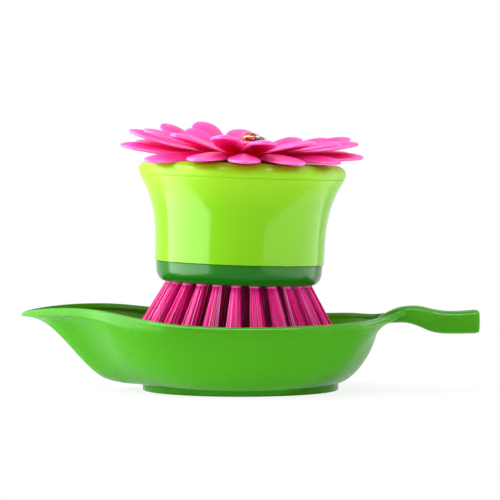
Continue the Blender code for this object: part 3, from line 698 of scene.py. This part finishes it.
def stem_mesh():
    """The stem, rooted in the bowl's wall under the neck."""
    bm = bmesh.new()
    stations = [
        (STEM_X + along * STEM_LENGTH, half * STEM_WIDTH, low * RIM_HEIGHT, high * RIM_HEIGHT)
        for along, half, low, high in STEM_SHARES
    ]
    stations = curve_through(stations, STEM_STEPS)
    _, half, low, high = stations[-1]
    for share in STEM_END_SHARES:
        inset = STEM_END_ROUND * (1 - share)
        stations.append((DISH_HIGH.x - share * STEM_END_ROUND, half - inset, low + inset, high - inset))
    row = begin(bm, stem_section(*stations[0]))
    bm.faces.new(row)
    for station in stations[1:]:
        row = grow(bm, row, stem_section(*station))
    bm.faces.new(row)
    return shaped("stem", to_mesh(bm, "stem"), subdivided(2))


def make_dish(material):
    """The leaf dish, one moulding of bowl, foot ring and stem."""
    join = {"operation": "UNION", "solver": "MANIFOLD"}
    mesh = shaped(
        "dish",
        bowl_mesh(),
        ("BOOLEAN", {**join, "object": linked("foot_ring", foot_mesh())}),
        ("BOOLEAN", {**join, "object": linked("stem", stem_mesh())}),
    )
    show("leaf_dish_moulding", crisp(mesh), material, "dish_green", "leaf_dish", body="holder")


def on_brush(bm, name, place=BRUSH):
    """The bmesh as a smooth mesh with crisp edges, at its place on the brush."""
    mesh = crisp(to_mesh(bm, name))
    mesh.transform(place)
    return mesh


def pot_radius(up):
    """The pot's outer radius at this height above its lower edge: nearly straight, then flaring."""
    return POT_RADIUS + (POT_TOP_RADIUS - POT_RADIUS) * (up / POT_HEIGHT) ** POT_FLARE_POWER


def make_pot(material):
    """The hollow handle, with its edges rounded."""
    ups = [POT_HEIGHT * step / POT_STEPS for step in range(POT_STEPS + 1)]
    outer = [(pot_radius(up), POT_BOTTOM + up) for up in ups]
    inner = [(radius - POT_WALL, height) for radius, height in reversed(outer)]
    outer[0] = (POT_RADIUS, POT_BOTTOM - SEAM_FILL)
    outer[-1] = (POT_TOP_RADIUS, POT_BOTTOM + POT_HEIGHT + SEAM_FILL)
    bm = turned(outer + inner, SEAM_EDGE)
    show("pot_handle", on_brush(bm, "pot_handle"), material, "pot_lime", "pot_shell")


def make_lid(material):
    """The lid: a rolled shoulder, a gently domed deck, a pad for the flower and a skirt in the pot."""
    shoulder = arc((LID_RADIUS - LID_SHOULDER, LID_BOTTOM + LID_SIDE), LID_SHOULDER, LID_DOME, DECK_SLOPE, 0)
    side_radius = (LID_RADIUS + POT_TOP_RADIUS) / 2 + LID_SWELL
    side = [(side_radius, LID_BOTTOM + LID_SIDE / 2), (POT_TOP_RADIUS, LID_BOTTOM)]
    deck_edge, deck_height = shoulder[0]
    deck_top = PAD_TOP - PAD_HEIGHT
    deck = [
        (PAD_RADIUS + (deck_edge - PAD_RADIUS) * t, deck_top + (deck_height - deck_top) * t**2)
        for t in (step / DECK_STEPS for step in range(DECK_STEPS))
    ]
    skirt_top = POT_TOP_RADIUS - POT_WALL - SEAM
    skirt_end = pot_radius(POT_HEIGHT - SKIRT_DEPTH) - POT_WALL - SEAM
    profile = [(POST_HOLE_RADIUS, LID_UNDERSIDE), (POST_HOLE_RADIUS, PAD_TOP), (PAD_RADIUS, PAD_TOP)]
    profile += [*deck, *shoulder, *side, (skirt_top, LID_BOTTOM)]
    profile += [(skirt_end, LID_BOTTOM - SKIRT_DEPTH), (skirt_end - SKIRT_WALL, LID_BOTTOM - SKIRT_DEPTH)]
    profile += [(skirt_end - SKIRT_WALL, LID_UNDERSIDE)]
    bm = turned(profile, SEAM_EDGE)
    show("pot_lid", on_brush(bm, "pot_lid"), material, "pot_lime", "top_deck")


def root_angles(count):
    """Directions of a ring's tufts in radians. The first is just left of the front."""
    return [math.radians(TUFT_TURN + 360 * step / count) for step in range(count)]


def root_holes():
    """One cutter for every blind hole in the block."""
    bm = bmesh.new()
    length = 2 * (ROOT_DEPTH + SEAM)
    for _, radius, count, _ in TUFT_RINGS:
        for angle in root_angles(count):
            place = Matrix.Rotation(angle, 4, "Z") @ Matrix.Translation((radius, 0, 0))
            rod(bm, ROOT_SIDES, ROOT_HOLE_RADIUS, ROOT_HOLE_RADIUS, length, place)
    return to_mesh(bm, "root_holes")


def make_block(material):
    """The bristle block: a rounded disc with blind holes under it and a spigot up into the pot."""
    corner = (BLOCK_RADIUS - BLOCK_TAPER - BLOCK_CORNER, BLOCK_CORNER_HEIGHT)
    top = BLOCK_HEIGHT + SPIGOT_HEIGHT
    profile = [(0, 0), *arc(corner, BLOCK_CORNER, BLOCK_CORNER_HEIGHT, -90, 0), (BLOCK_RADIUS, BLOCK_HEIGHT)]
    profile += [(SPIGOT_RADIUS, BLOCK_HEIGHT), (SPIGOT_RADIUS, top), (SPIGOT_RADIUS - SPIGOT_WALL, top)]
    profile += [(SPIGOT_RADIUS - SPIGOT_WALL, BLOCK_HEIGHT), (0, BLOCK_HEIGHT)]
    disc = to_mesh(turned(profile, BLOCK_EDGE), "disc")
    holes = {"operation": "DIFFERENCE", "solver": "EXACT", "object": linked("holes", root_holes())}
    mesh = crisp(shaped("block", disc, ("BOOLEAN", holes)))
    mesh.transform(BRUSH)
    show("bristle_block", mesh, material, "block_green", "brush_block")


def petal_half_width(t, width):
    """Half the petal's width at this share of its length: a waist, a broad blade and a round tip."""
    blade = PETAL_WAIST_SHARE + (1 - PETAL_WAIST_SHARE) * smooth_step(t / PETAL_FULL_SHARE)
    past = max(0, (t - PETAL_TIP_SHARE) / (1 - PETAL_TIP_SHARE))
    return width / 2 * max(PETAL_END_SHARE, blade * math.sqrt(1 - past**2))


def petal_row(t, hub, direction, reach, rise, lean, width, room):
    """Points across a petal at this share of its length, each with how near it is to the petal's edge.

    The petal is bowed like the back of a spoon, with two flutes, and leans to one side by a slope that grows
    along it. Room is the slope of the side that its nearest neighbour leaves it.
    """
    along = hub + (reach - hub) * t
    half = min(petal_half_width(t, width), PETAL_ROOM_SHARE * room * along)
    spoon = PETAL_SPOON * smooth_step(t / PETAL_SPOON_SHARE) * (1 - t**PETAL_END_POWER)
    flute = PETAL_FLUTE * 4 * t * (1 - t)
    end_power, side_power = PETAL_RIM_POWERS
    points = []
    for column in range(PETAL_COLUMNS + 1):
        side = 2 * column / PETAL_COLUMNS - 1
        across = side * half
        height = PETAL_RISE * rise * t**PETAL_EASE_POWER + spoon * (1 - side**2)
        height += lean * across * smooth_step(2 * t)
        out = along - PETAL_ROUND_SHARE * half * side**2 * t**PETAL_END_POWER
        x = out * math.cos(direction) - across * math.sin(direction)
        y = out * math.sin(direction) + across * math.cos(direction)
        place = Vector((x, y, height + flute * math.cos(2 * math.pi * side)))
        points.append((place, max(t**end_power, side**side_power * smooth_step(2 * t))))
    return points


def petal_rooms(pairs):
    """The room that each petal has, as the slope of half the angle to its nearest neighbour."""
    steps = [there - here for here, there in pairs]
    return [math.tan(min(before, after) / 2) for before, after in zip(steps[-1:] + steps[:-1], steps)]


def hub_angles(pairs):
    """Directions round the hub, with PETAL_COLUMNS steps for each petal between its neighbours."""
    limits = [(here + there) / 2 for here, there in pairs]
    starts = [limits[-1] - 2 * math.pi] + limits[:-1]
    return [
        start + (end - start) * column / PETAL_COLUMNS
        for start, end in zip(starts, limits)
        for column in range(PETAL_COLUMNS)
    ]


def petal_sheet(shares, inner, radius, width):
    """A hub with a hole and its petals, as one sheet that faces up and knows how near its edges it is."""
    bm = bmesh.new()
    layer = bm.verts.layers.float.new("rim")
    turns = [math.radians(share[0]) for share in shares]
    pairs = list(zip(turns, turns[1:] + [turns[0] + 2 * math.pi]))
    angles = hub_angles(pairs)
    hole, hub = (
        [(reach * math.cos(angle), reach * math.sin(angle), 0) for angle in angles]
        for reach in (POST_HOLE_RADIUS, inner)
    )
    hub = grow(bm, begin(bm, hole), hub)
    for petal, ((_, length, rise, lean), room) in enumerate(zip(shares, petal_rooms(pairs))):
        first = petal * PETAL_COLUMNS
        row = [hub[(first + column) % len(hub)] for column in range(PETAL_COLUMNS + 1)]
        for step in range(1, PETAL_ROWS + 1):
            t = math.sin(math.pi / 2 * step / PETAL_ROWS)
            points = petal_row(t, inner, turns[petal], radius * length, rise, lean, width, room)
            row = grow(bm, row, [place for place, _ in points], closed=False)
            for vert, (_, rim) in zip(row, points):
                vert[layer] = rim
    bmesh.ops.recalc_face_normals(bm, faces=bm.faces)
    bm.faces.ensure_lookup_table()
    if bm.faces[0].normal.z < 0:
        bmesh.ops.reverse_faces(bm, faces=bm.faces)
    return to_mesh(bm, "petals", sheet=True)


def make_petals(material):
    """The two petal layers, each one moulding."""
    wall = {"thickness": PETAL_WALL, "offset": 1}
    for name, shares, inner, radius, width, height in (
        ("lower", LOWER_SHARES, LOWER_HUB_RADIUS, LOWER_RADIUS, LOWER_WIDTH, LOWER_HUB),
        ("upper", UPPER_SHARES, UPPER_HUB_RADIUS, UPPER_RADIUS, UPPER_WIDTH, UPPER_HUB),
    ):
        sheet = petal_sheet(shares, inner, radius, width)
        mesh = shaped(name, sheet, ("SOLIDIFY", wall), subdivided(2))
        mesh.shade_smooth()
        mesh.transform(BRUSH @ Matrix.Translation((0, 0, height)))
        show(f"petals_{name}_moulding", mesh, material, "petal_pink", f"petals_{name}")


def make_button(material):
    """The flower's button: a cap over a narrower side, with its post down through the hubs and the lid."""
    top = BUTTON_BOTTOM + BUTTON_EDGE + BUTTON_DOME
    profile = [(0, top), *arc((0, top - BUTTON_CROWN), BUTTON_RADIUS, BUTTON_CROWN, 90, CROWN_SLOPE)[1:]]
    profile += [(BUTTON_RADIUS, top - BUTTON_CAP), (BUTTON_RADIUS - BUTTON_STEP, top - BUTTON_CAP)]
    profile += [(BUTTON_RADIUS - BUTTON_STEP, BUTTON_BOTTOM)]
    profile += [(POST_RADIUS, BUTTON_BOTTOM), (POST_RADIUS, POST_END), (0, POST_END)]
    bm = turned(profile, SEAM, SMALL_TURN_STEPS)
    show("flower_button", on_brush(bm, "flower_button"), material, "button_pink", "flower_centre")


def perch():
    """The ladybird's place on the button's slope, nose down."""
    share = LADYBIRD_SHIFT / BUTTON_RADIUS
    fall = math.sqrt(1 - share**2)
    place = Matrix.Translation((LADYBIRD_SHIFT, 0, BUTTON_BOTTOM + BUTTON_EDGE + BUTTON_DOME * fall))
    tilt = math.atan(BUTTON_DOME * share / fall / BUTTON_RADIUS)
    return BRUSH @ place @ Matrix.Rotation(tilt, 4, "Y")


def make_wing_case(material):
    """The red wing case: a dome with a seam down its middle, cut off in front for the head."""
    half = LADYBIRD_WIDTH / 2
    bm = bmesh.new()
    bmesh.ops.create_uvsphere(bm, u_segments=SMALL_TURN_STEPS, v_segments=SMALL_TURN_STEPS // 2, radius=1)
    bmesh.ops.scale(bm, verts=bm.verts, vec=(LADYBIRD_LENGTH / 2, half, LADYBIRD_HEIGHT - CASE_LIFT))
    front = LADYBIRD_LENGTH / 2 - COLLAR_LENGTH
    for point, normal in (((0, 0, 0), (0, 0, -1)), ((front, 0, 0), (1, 0, 0))):
        everything = bm.verts[:] + bm.edges[:] + bm.faces[:]
        cut = bmesh.ops.bisect_plane(bm, geom=everything, plane_co=point, plane_no=normal, clear_outer=True)
        edges = [item for item in cut["geom_cut"] if isinstance(item, bmesh.types.BMEdge)]
        bmesh.ops.holes_fill(bm, edges=edges)
    for vert in bm.verts:
        depth = CASE_SEAM * max(0, 1 - abs(vert.co.y) / (2 * CASE_SEAM))
        vert.co.z -= depth if vert.co.z > depth else 0
    bmesh.ops.translate(bm, verts=bm.verts, vec=(0, 0, CASE_LIFT))
    show("ladybird_wing_case", on_brush(bm, "wing_case", perch()), material, "ladybird_red", "ladybug_shell")


def ball(bm, centre, half_sizes, sides, rings):
    """A sphere stretched to these half sizes."""
    place = Matrix.Translation(centre) @ Matrix.Diagonal((*half_sizes, 1))
    bmesh.ops.create_uvsphere(bm, u_segments=sides, v_segments=rings, radius=1, matrix=place)


def limb(bm, points, radius):
    """A thin leg or feeler through these points, with a knuckle at the end of each stretch."""
    for start, end in zip(points, points[1:]):
        way = end - start
        place = Matrix.Translation((start + end) / 2) @ way.to_track_quat("Z", "Y").to_matrix().to_4x4()
        rod(bm, LIMB_SIDES, radius, radius * LIMB_TAPER_SHARE, way.length, place)
        ball(bm, end, (radius, radius, radius), LIMB_SIDES, LIMB_RINGS)


def make_ladybird_body(material):
    """The black body: belly, collar, head, six legs and two feelers."""
    length, half = LADYBIRD_LENGTH / 2, LADYBIRD_WIDTH / 2
    back = SEAM + BELLY_WALL
    bm = bmesh.new()
    belly = (length * BELLY_SHARE, half * BELLY_SHARE, BELLY_WALL)
    ball(bm, (0, 0, SEAM + BELLY_WALL / 2), belly, SMALL_TURN_STEPS, BELLY_RINGS)
    collar = (COLLAR_LENGTH * COLLAR_LENGTH_SHARE, half * COLLAR_WIDTH_SHARE, COLLAR_HEIGHT)
    ball(bm, (length - COLLAR_LENGTH + SEAM, 0, back), collar, COLLAR_SIDES, COLLAR_RINGS)
    head = [HEAD_RADIUS * share for share in HEAD_SHARES]
    ball(bm, (length + HEAD_RADIUS * HEAD_SHIFT_SHARE, 0, back), head, HEAD_SIDES, HEAD_RINGS)
    nose = length + HEAD_RADIUS
    for side in (-1, 1):
        for root in LEG_SHARES:
            leg = [
                Vector((along * root * length, side * across * half, SEAM + up * BELLY_WALL))
                for along, across, up in JOINT_SHARES
            ]
            limb(bm, leg, LEG_RADIUS)
        feeler = [Vector((nose + past, side * across, SEAM + up)) for past, across, up in FEELER_POINTS]
        limb(bm, feeler, FEELER_RADIUS)
    mesh = to_mesh(bm, "ladybird_body")
    mesh.transform(perch())
    show("ladybird_body", mesh, material, "ladybird_black", "ladybug_body")


def bristle(bm, foot, tip, shade, layer):
    """One bristle from its root to its tip, which carries its own shade."""
    bearing = Matrix.Rotation(shade * math.pi, 4, "Z")
    row = None
    for step in range(BRISTLE_STEPS + 1):
        t = step / BRISTLE_STEPS
        centre = foot.lerp(tip, t)
        points = [
            centre + bearing @ Vector((BRISTLE_RADIUS * math.cos(a), BRISTLE_RADIUS * math.sin(a), 0))
            for a in (2 * math.pi * side / BRISTLE_SIDES for side in range(BRISTLE_SIDES))
        ]
        row = grow(bm, row, points) if row else begin(bm, points)
        for vert in row:
            vert[layer] = shade
    bm.faces.new(row)


def bunch_mesh(splay, seed):
    """A tuft: its root in the block, and the bristles that fan out of it."""
    dice = random.Random(seed)
    bm = bmesh.new()
    layer = bm.verts.layers.float.new("shade")
    place = Matrix.Translation((0, 0, (ROOT_DEPTH - ROOT_STUB) / 2))
    rod(bm, ROOT_SIDES, ROOT_RADIUS, ROOT_RADIUS, ROOT_DEPTH + ROOT_STUB, place)
    rounded(bm, ROOT_EDGE, ROOT_EDGE_STEPS)
    # Painted highlight: the roots are partly pale, along the collars' edges
    for vert in bm.verts:
        vert[layer] = ROOT_HIGHLIGHT_SHADE
    lean = Vector((BRISTLE_DROP * math.tan(splay), 0, -BRISTLE_DROP))
    golden = math.pi * (3 - math.sqrt(5))
    for number in range(BRISTLES):
        out = BUNCH_RADIUS * math.sqrt((number + 0.5) / BRISTLES)
        foot = Vector((out * math.cos(number * golden), out * math.sin(number * golden), 0))
        stray = Vector((dice.uniform(-1, 1), dice.uniform(-1, 1), 0)) * BRISTLE_STRAY
        tip = foot * TUFT_FLARE_SHARE + lean * (1 - dice.random() * BRISTLE_UNEVEN / BRISTLE_DROP) + stray
        bristle(bm, foot, tip, dice.random(), layer)
    return crisp(to_mesh(bm, "bunch"))


def make_tufts(material):
    """Every tuft in its hole, three rings of them."""
    for name, radius, count, splay in TUFT_RINGS:
        bunches = [bunch_mesh(math.radians(splay), seed) for seed in range(BUNCHES)]
        for number, angle in enumerate(root_angles(count), 1):
            mesh = bunches[number % BUNCHES].copy()
            mesh.transform(BRUSH @ Matrix.Rotation(angle, 4, "Z") @ Matrix.Translation((radius, 0, 0)))
            node = f"tuft_{name}_{number:02d}"
            show(f"bristles_{name}_{number:02d}", mesh, material, "bristle_pink", node)


def feed(tree, socket, value):
    """Links another node's output to an input, or sets the input to a value."""
    if isinstance(value, bpy.types.NodeSocket):
        tree.links.new(value, socket)
    else:
        socket.default_value = value


def add(tree, kind, *values, **named):
    """A shader node. Its inputs are fed in order or by name, and its properties are set by name."""
    node = tree.nodes.new(f"ShaderNode{kind}")
    for key, value in named.items():
        if key in node.inputs:
            feed(tree, node.inputs[key], value)
        else:
            setattr(node, key, value)
    for socket, value in zip(node.inputs, values):
        feed(tree, socket, value)
    return node


def own_place(tree):
    """The piece's own coordinates, which are the room's at rest."""
    return add(tree, "TexCoord").outputs["Object"]


def spread(tree, value, reach=NOISE_RANGE, low=0.0, high=1.0):
    """The value stretched from this range to low..high, and no further."""
    limits = {"From Min": reach[0], "From Max": reach[1], "To Min": low, "To Max": high}
    return add(tree, "MapRange", Value=value, **limits).outputs["Result"]


def noise(tree, scale):
    """Soft clouds."""
    clouds = add(tree, "TexNoise", Vector=own_place(tree), Scale=scale, Detail=NOISE_DETAIL)
    return clouds.outputs["Fac"]


def stipple(tree, scale):
    """Round dots."""
    cells = add(tree, "TexVoronoi", Vector=own_place(tree), Scale=scale)
    return spread(tree, cells.outputs["Distance"], STIPPLE_RANGE, 1.0, 0.0)


def calculated(tree, operation, *values):
    """What a Math node makes of these outputs and numbers."""
    return add(tree, "Math", *values, operation=operation).outputs["Value"]


def measured(tree, operation, *vectors):
    """The length of a vector, or the distance between two."""
    return add(tree, "VectorMath", *vectors, operation=operation).outputs["Value"]


def blend_colours(tree, factor, first, second):
    """A mix of two colours or colour outputs."""
    node = add(tree, "Mix", data_type="RGBA", Factor=factor)
    sockets = [item for item in node.inputs if item.type == "RGBA"]
    for socket, colour in zip(sockets, (first, second)):
        feed(tree, socket, (*colour, 1) if isinstance(colour, tuple) else colour)
    return next(item for item in node.outputs if item.type == "RGBA")


def finished(name, pattern=noise):
    """A new material with its finish: itself, its tree, its shader and the pattern for its colour."""
    scale, gloss_scale, low, high, grain_scale, strength, height = FINISHES[name]
    material = bpy.data.materials.new(name)
    material.use_nodes = True
    tree = material.node_tree
    shader = tree.nodes["Principled BSDF"]
    grain = {"Height": pattern(tree, grain_scale), "Strength": strength, "Distance": height}
    values = {
        "Roughness": spread(tree, noise(tree, gloss_scale), NOISE_RANGE, low, high),
        "Normal": add(tree, "Bump", **grain).outputs["Normal"],
        **SHADER_VALUES.get(name, {}),
    }
    for key, value in values.items():
        feed(tree, shader.inputs[key], value)
    return material, tree, shader, pattern(tree, scale)


def clouded(name, colours):
    """A new material with two colours in clouds, and its tree and shader."""
    material, tree, shader, clouds = finished(name)
    tint = blend_colours(tree, spread(tree, clouds), *colours)
    tree.links.new(tint, shader.inputs["Base Color"])
    return material, tree, shader


def dish_plastic():
    """Leaf green, satin."""
    return clouded("leaf_green_plastic", LEAF_GREENS)[0]


def pot_plastic():
    """Bright lime, glossy on the pot, yellower and more satin toward the lid, where the yellower tint is
    painted light.
    """
    material, tree, shader = clouded("lime_plastic", LIME_GREENS)
    height = add(tree, "SeparateXYZ", Vector=own_place(tree)).outputs["Z"]
    upper = spread(tree, height, LID_RANGE)
    colour, roughness = shader.inputs["Base Color"], shader.inputs["Roughness"]
    lime, gloss = colour.links[0].from_socket, roughness.links[0].from_socket
    # Painted light: yellower toward the top
    tree.links.new(blend_colours(tree, upper, lime, PAINTED_TOP_LIGHT), colour)
    tree.links.new(calculated(tree, "MULTIPLY_ADD", upper, LID_SATIN, gloss), roughness)
    return material


def block_plastic():
    """Deep green, glossy."""
    return clouded("deep_green_plastic", DEEP_GREENS)[0]


def axis_distance(tree):
    """Distance from the brush's axis."""
    home = BRUSH.inverted()
    moves = {"Location": home.to_translation(), "Rotation": home.to_euler()}
    upright = add(tree, "Mapping", Vector=own_place(tree), **moves).outputs["Vector"]
    flat = add(tree, "VectorMath", upright, (1, 1, 0), operation="MULTIPLY").outputs["Vector"]
    return measured(tree, "LENGTH", flat)


def petal_plastic():
    """Soft pink: crimson near the middle as painted shade, hot pink on the blades, and paler along their
    edges as a painted highlight.
    """
    material, tree, shader, clouds = finished("soft_pink_plastic")
    # Painted shade: crimson toward the middle of the flower
    heart_shade = spread(tree, axis_distance(tree), PETAL_SHADE_RANGE)
    pink = blend_colours(tree, heart_shade, PAINTED_PETAL_SHADE, PETAL_BLADE)
    cloudy = blend_colours(tree, spread(tree, clouds, high=PETAL_CLOUD_BLEND), pink, PETAL_CLOUD)
    # Painted highlight along the petals' edges and tips
    rim = add(tree, "Attribute", attribute_name="rim")
    edge = spread(tree, rim.outputs["Fac"], PETAL_HIGHLIGHT_RANGE, *PETAL_HIGHLIGHT_BLENDS)
    tree.links.new(blend_colours(tree, edge, cloudy, PAINTED_PETAL_HIGHLIGHT), shader.inputs["Base Color"])
    return material


def button_plastic():
    """Deeper pink with a fine stipple."""
    material, tree, shader, dots = finished("deep_pink_plastic", stipple)
    tree.links.new(blend_colours(tree, dots, *BUTTON_PINKS), shader.inputs["Base Color"])
    return material


def bristle_nylon():
    """Nylon filament: each bristle has its own shade from crimson to light pink, and the palest bristles are
    a painted highlight.
    """
    material, tree, shader, clouds = finished("pink_nylon")
    shade = add(tree, "Attribute", attribute_name="shade").outputs["Fac"]
    pink = blend_colours(tree, spread(tree, shade, NYLON_DARK_RANGE), *NYLON_PINKS)
    # Painted highlight on the palest bristles
    pale = spread(tree, shade, NYLON_HIGHLIGHT_RANGE)
    full = blend_colours(tree, pale, pink, PAINTED_NYLON_HIGHLIGHT)
    streaks = spread(tree, clouds, high=NYLON_STREAK_BLEND)
    tree.links.new(blend_colours(tree, streaks, full, NYLON_STREAK), shader.inputs["Base Color"])
    return material


def spot_mask(tree, centres, radius):
    """1 inside any of these spots on the ladybird, 0 outside."""
    home = perch()
    soft = radius * SPOT_SOFT_SHARE
    mask = 0.0
    for centre in centres:
        distance = measured(tree, "DISTANCE", own_place(tree), home @ Vector(centre))
        spot = spread(tree, distance, (radius - soft, radius + soft), 1.0, 0.0)
        mask = calculated(tree, "MAXIMUM", mask, spot)
    return mask


def on_case(along, across):
    """A point on the wing case's dome."""
    rise = math.sqrt(1 - along**2 - across**2)
    height = CASE_LIFT + rise * (LADYBIRD_HEIGHT - CASE_LIFT)
    return (along * LADYBIRD_LENGTH / 2, across * LADYBIRD_WIDTH / 2, height)


def spotted(name, colours, spots, spot_colour):
    """A clouded paint with spots."""
    material, tree, shader = clouded(name, colours)
    colour = shader.inputs["Base Color"]
    ground = colour.links[0].from_socket
    tree.links.new(blend_colours(tree, spot_mask(tree, *spots), ground, spot_colour), colour)
    return material


def wing_case_paint():
    """Orange red with black spots, glossy."""
    spots = [on_case(*shares) for shares in SPOT_SHARES]
    return spotted("wing_case_red", CASE_REDS, (spots, SPOT_RADIUS), SPOT_BLACK)


def body_paint():
    """Black with a pale mark each side of the collar, glossy."""
    front = LADYBIRD_LENGTH / 2 - COLLAR_LENGTH / 2
    height = SEAM + BELLY_WALL + MARK_HEIGHT
    marks = [(front, side * LADYBIRD_WIDTH * MARK_SHARE, height) for side in (-1, 1)]
    return spotted("ladybird_black_paint", BODY_BLACKS, (marks, MARK_RADIUS), MARK_WHITE)


def plain_steel():
    """Plain steel with fine turning marks."""
    return clouded("plain_steel", STEEL_GREYS)[0]


def finish_fixing(material):
    """The screw and washer stay as they are in CAD, in steel."""
    for name in ("flower_screw", "flower_washer"):
        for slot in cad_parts[name].material_slots:
            slot.material = material


def seen_directly(tree):
    """1 for the rays that show a background: from the camera, in a reflection or through glass."""
    rays = add(tree, "LightPath").outputs
    reflected = calculated(tree, "MAXIMUM", rays["Is Camera Ray"], rays["Is Glossy Ray"])
    return calculated(tree, "MAXIMUM", reflected, rays["Is Transmission Ray"])


def cleared(owner):
    """The node tree of a world or material, with nothing in it yet."""
    owner.use_nodes = True
    owner.node_tree.nodes.clear()
    return owner.node_tree


def mix_shaders(tree, factor, first, second, out):
    """Sends a mix of two shader outputs to the surface of the tree's output."""
    mix = add(tree, "MixShader", factor, first, second)
    add(tree, out, Surface=mix.outputs["Shader"])


def make_world():
    """An even pale light, which shows as white."""
    world = bpy.data.worlds.new("studio")
    tree = cleared(world)
    lit = add(tree, "Background", Color=PURE_WHITE, Strength=WORLD_LIGHT).outputs["Background"]
    white = add(tree, "Background", Color=PURE_WHITE, Strength=1.0).outputs["Background"]
    mix_shaders(tree, seen_directly(tree), lit, white, "OutputWorld")
    bpy.context.scene.world = world


def make_floor():
    """A wide white floor that keeps a faint shadow near the object and shows as white further away."""
    bm = bmesh.new()
    bmesh.ops.create_grid(bm, x_segments=1, y_segments=1, size=FLOOR_REACH)
    floor = linked("floor", to_mesh(bm, "floor", sheet=True))
    material = bpy.data.materials.new("floor_white")
    tree = cleared(material)
    matt = add(tree, "BsdfDiffuse", Color=FLOOR_WHITE).outputs["BSDF"]
    glow = add(tree, "Emission", Color=PURE_WHITE, Strength=1.0).outputs["Emission"]
    away = measured(tree, "LENGTH", own_place(tree))
    whiteness = spread(tree, away, FLOOR_GLOW_RANGE, *FLOOR_GLOW_BLENDS)
    share = calculated(tree, "MULTIPLY", seen_directly(tree), whiteness)
    mix_shaders(tree, share, matt, glow, "OutputMaterial")
    floor.data.materials.append(material)


def make_softbox(name, use, radiance, size, place, turn):
    """A rectangle of even light that the camera doesn't see. Unturned, it faces down.

    Its use is to fill, so that it lights without showing in gloss, or to shine, so that it only shows there.
    """
    lamp = bpy.data.lights.new(name, "AREA")
    lamp.shape = "RECTANGLE"
    lamp.size, lamp.size_y = size
    lamp.energy = radiance * math.pi * lamp.size * lamp.size_y
    box = linked(name, lamp)
    box.location = place
    box.rotation_euler = [math.radians(angle) for angle in turn]
    box.visible_camera = False
    box.visible_diffuse = use == "fill"
    box.visible_glossy = use == "shine"


def make_camera():
    """The camera, a little above the rim of the pot."""
    data = bpy.data.cameras.new("camera")
    data.lens = FOCAL_LENGTH
    data.sensor_width = SENSOR_WIDTH
    camera = linked("camera", data)
    camera.location = (0, -CAMERA_DISTANCE, CAMERA_HEIGHT)
    camera.rotation_euler = (math.radians(90 - CAMERA_DIP), 0, 0)
    bpy.context.scene.camera = camera


def make_object():
    """Every piece of the object."""
    lime = pot_plastic()
    make_dish(dish_plastic())
    make_pot(lime)
    make_lid(lime)
    make_block(block_plastic())
    make_petals(petal_plastic())
    make_button(button_plastic())
    make_wing_case(wing_case_paint())
    make_ladybird_body(body_paint())
    make_tufts(bristle_nylon())
    finish_fixing(plain_steel())


def make_studio():
    """Camera, lights, floor and background."""
    make_world()
    make_floor()
    for lamp in LAMPS:
        make_softbox(*lamp)
    make_camera()
    bpy.context.scene.view_settings.view_transform = "Standard"


make_object()
make_studio()
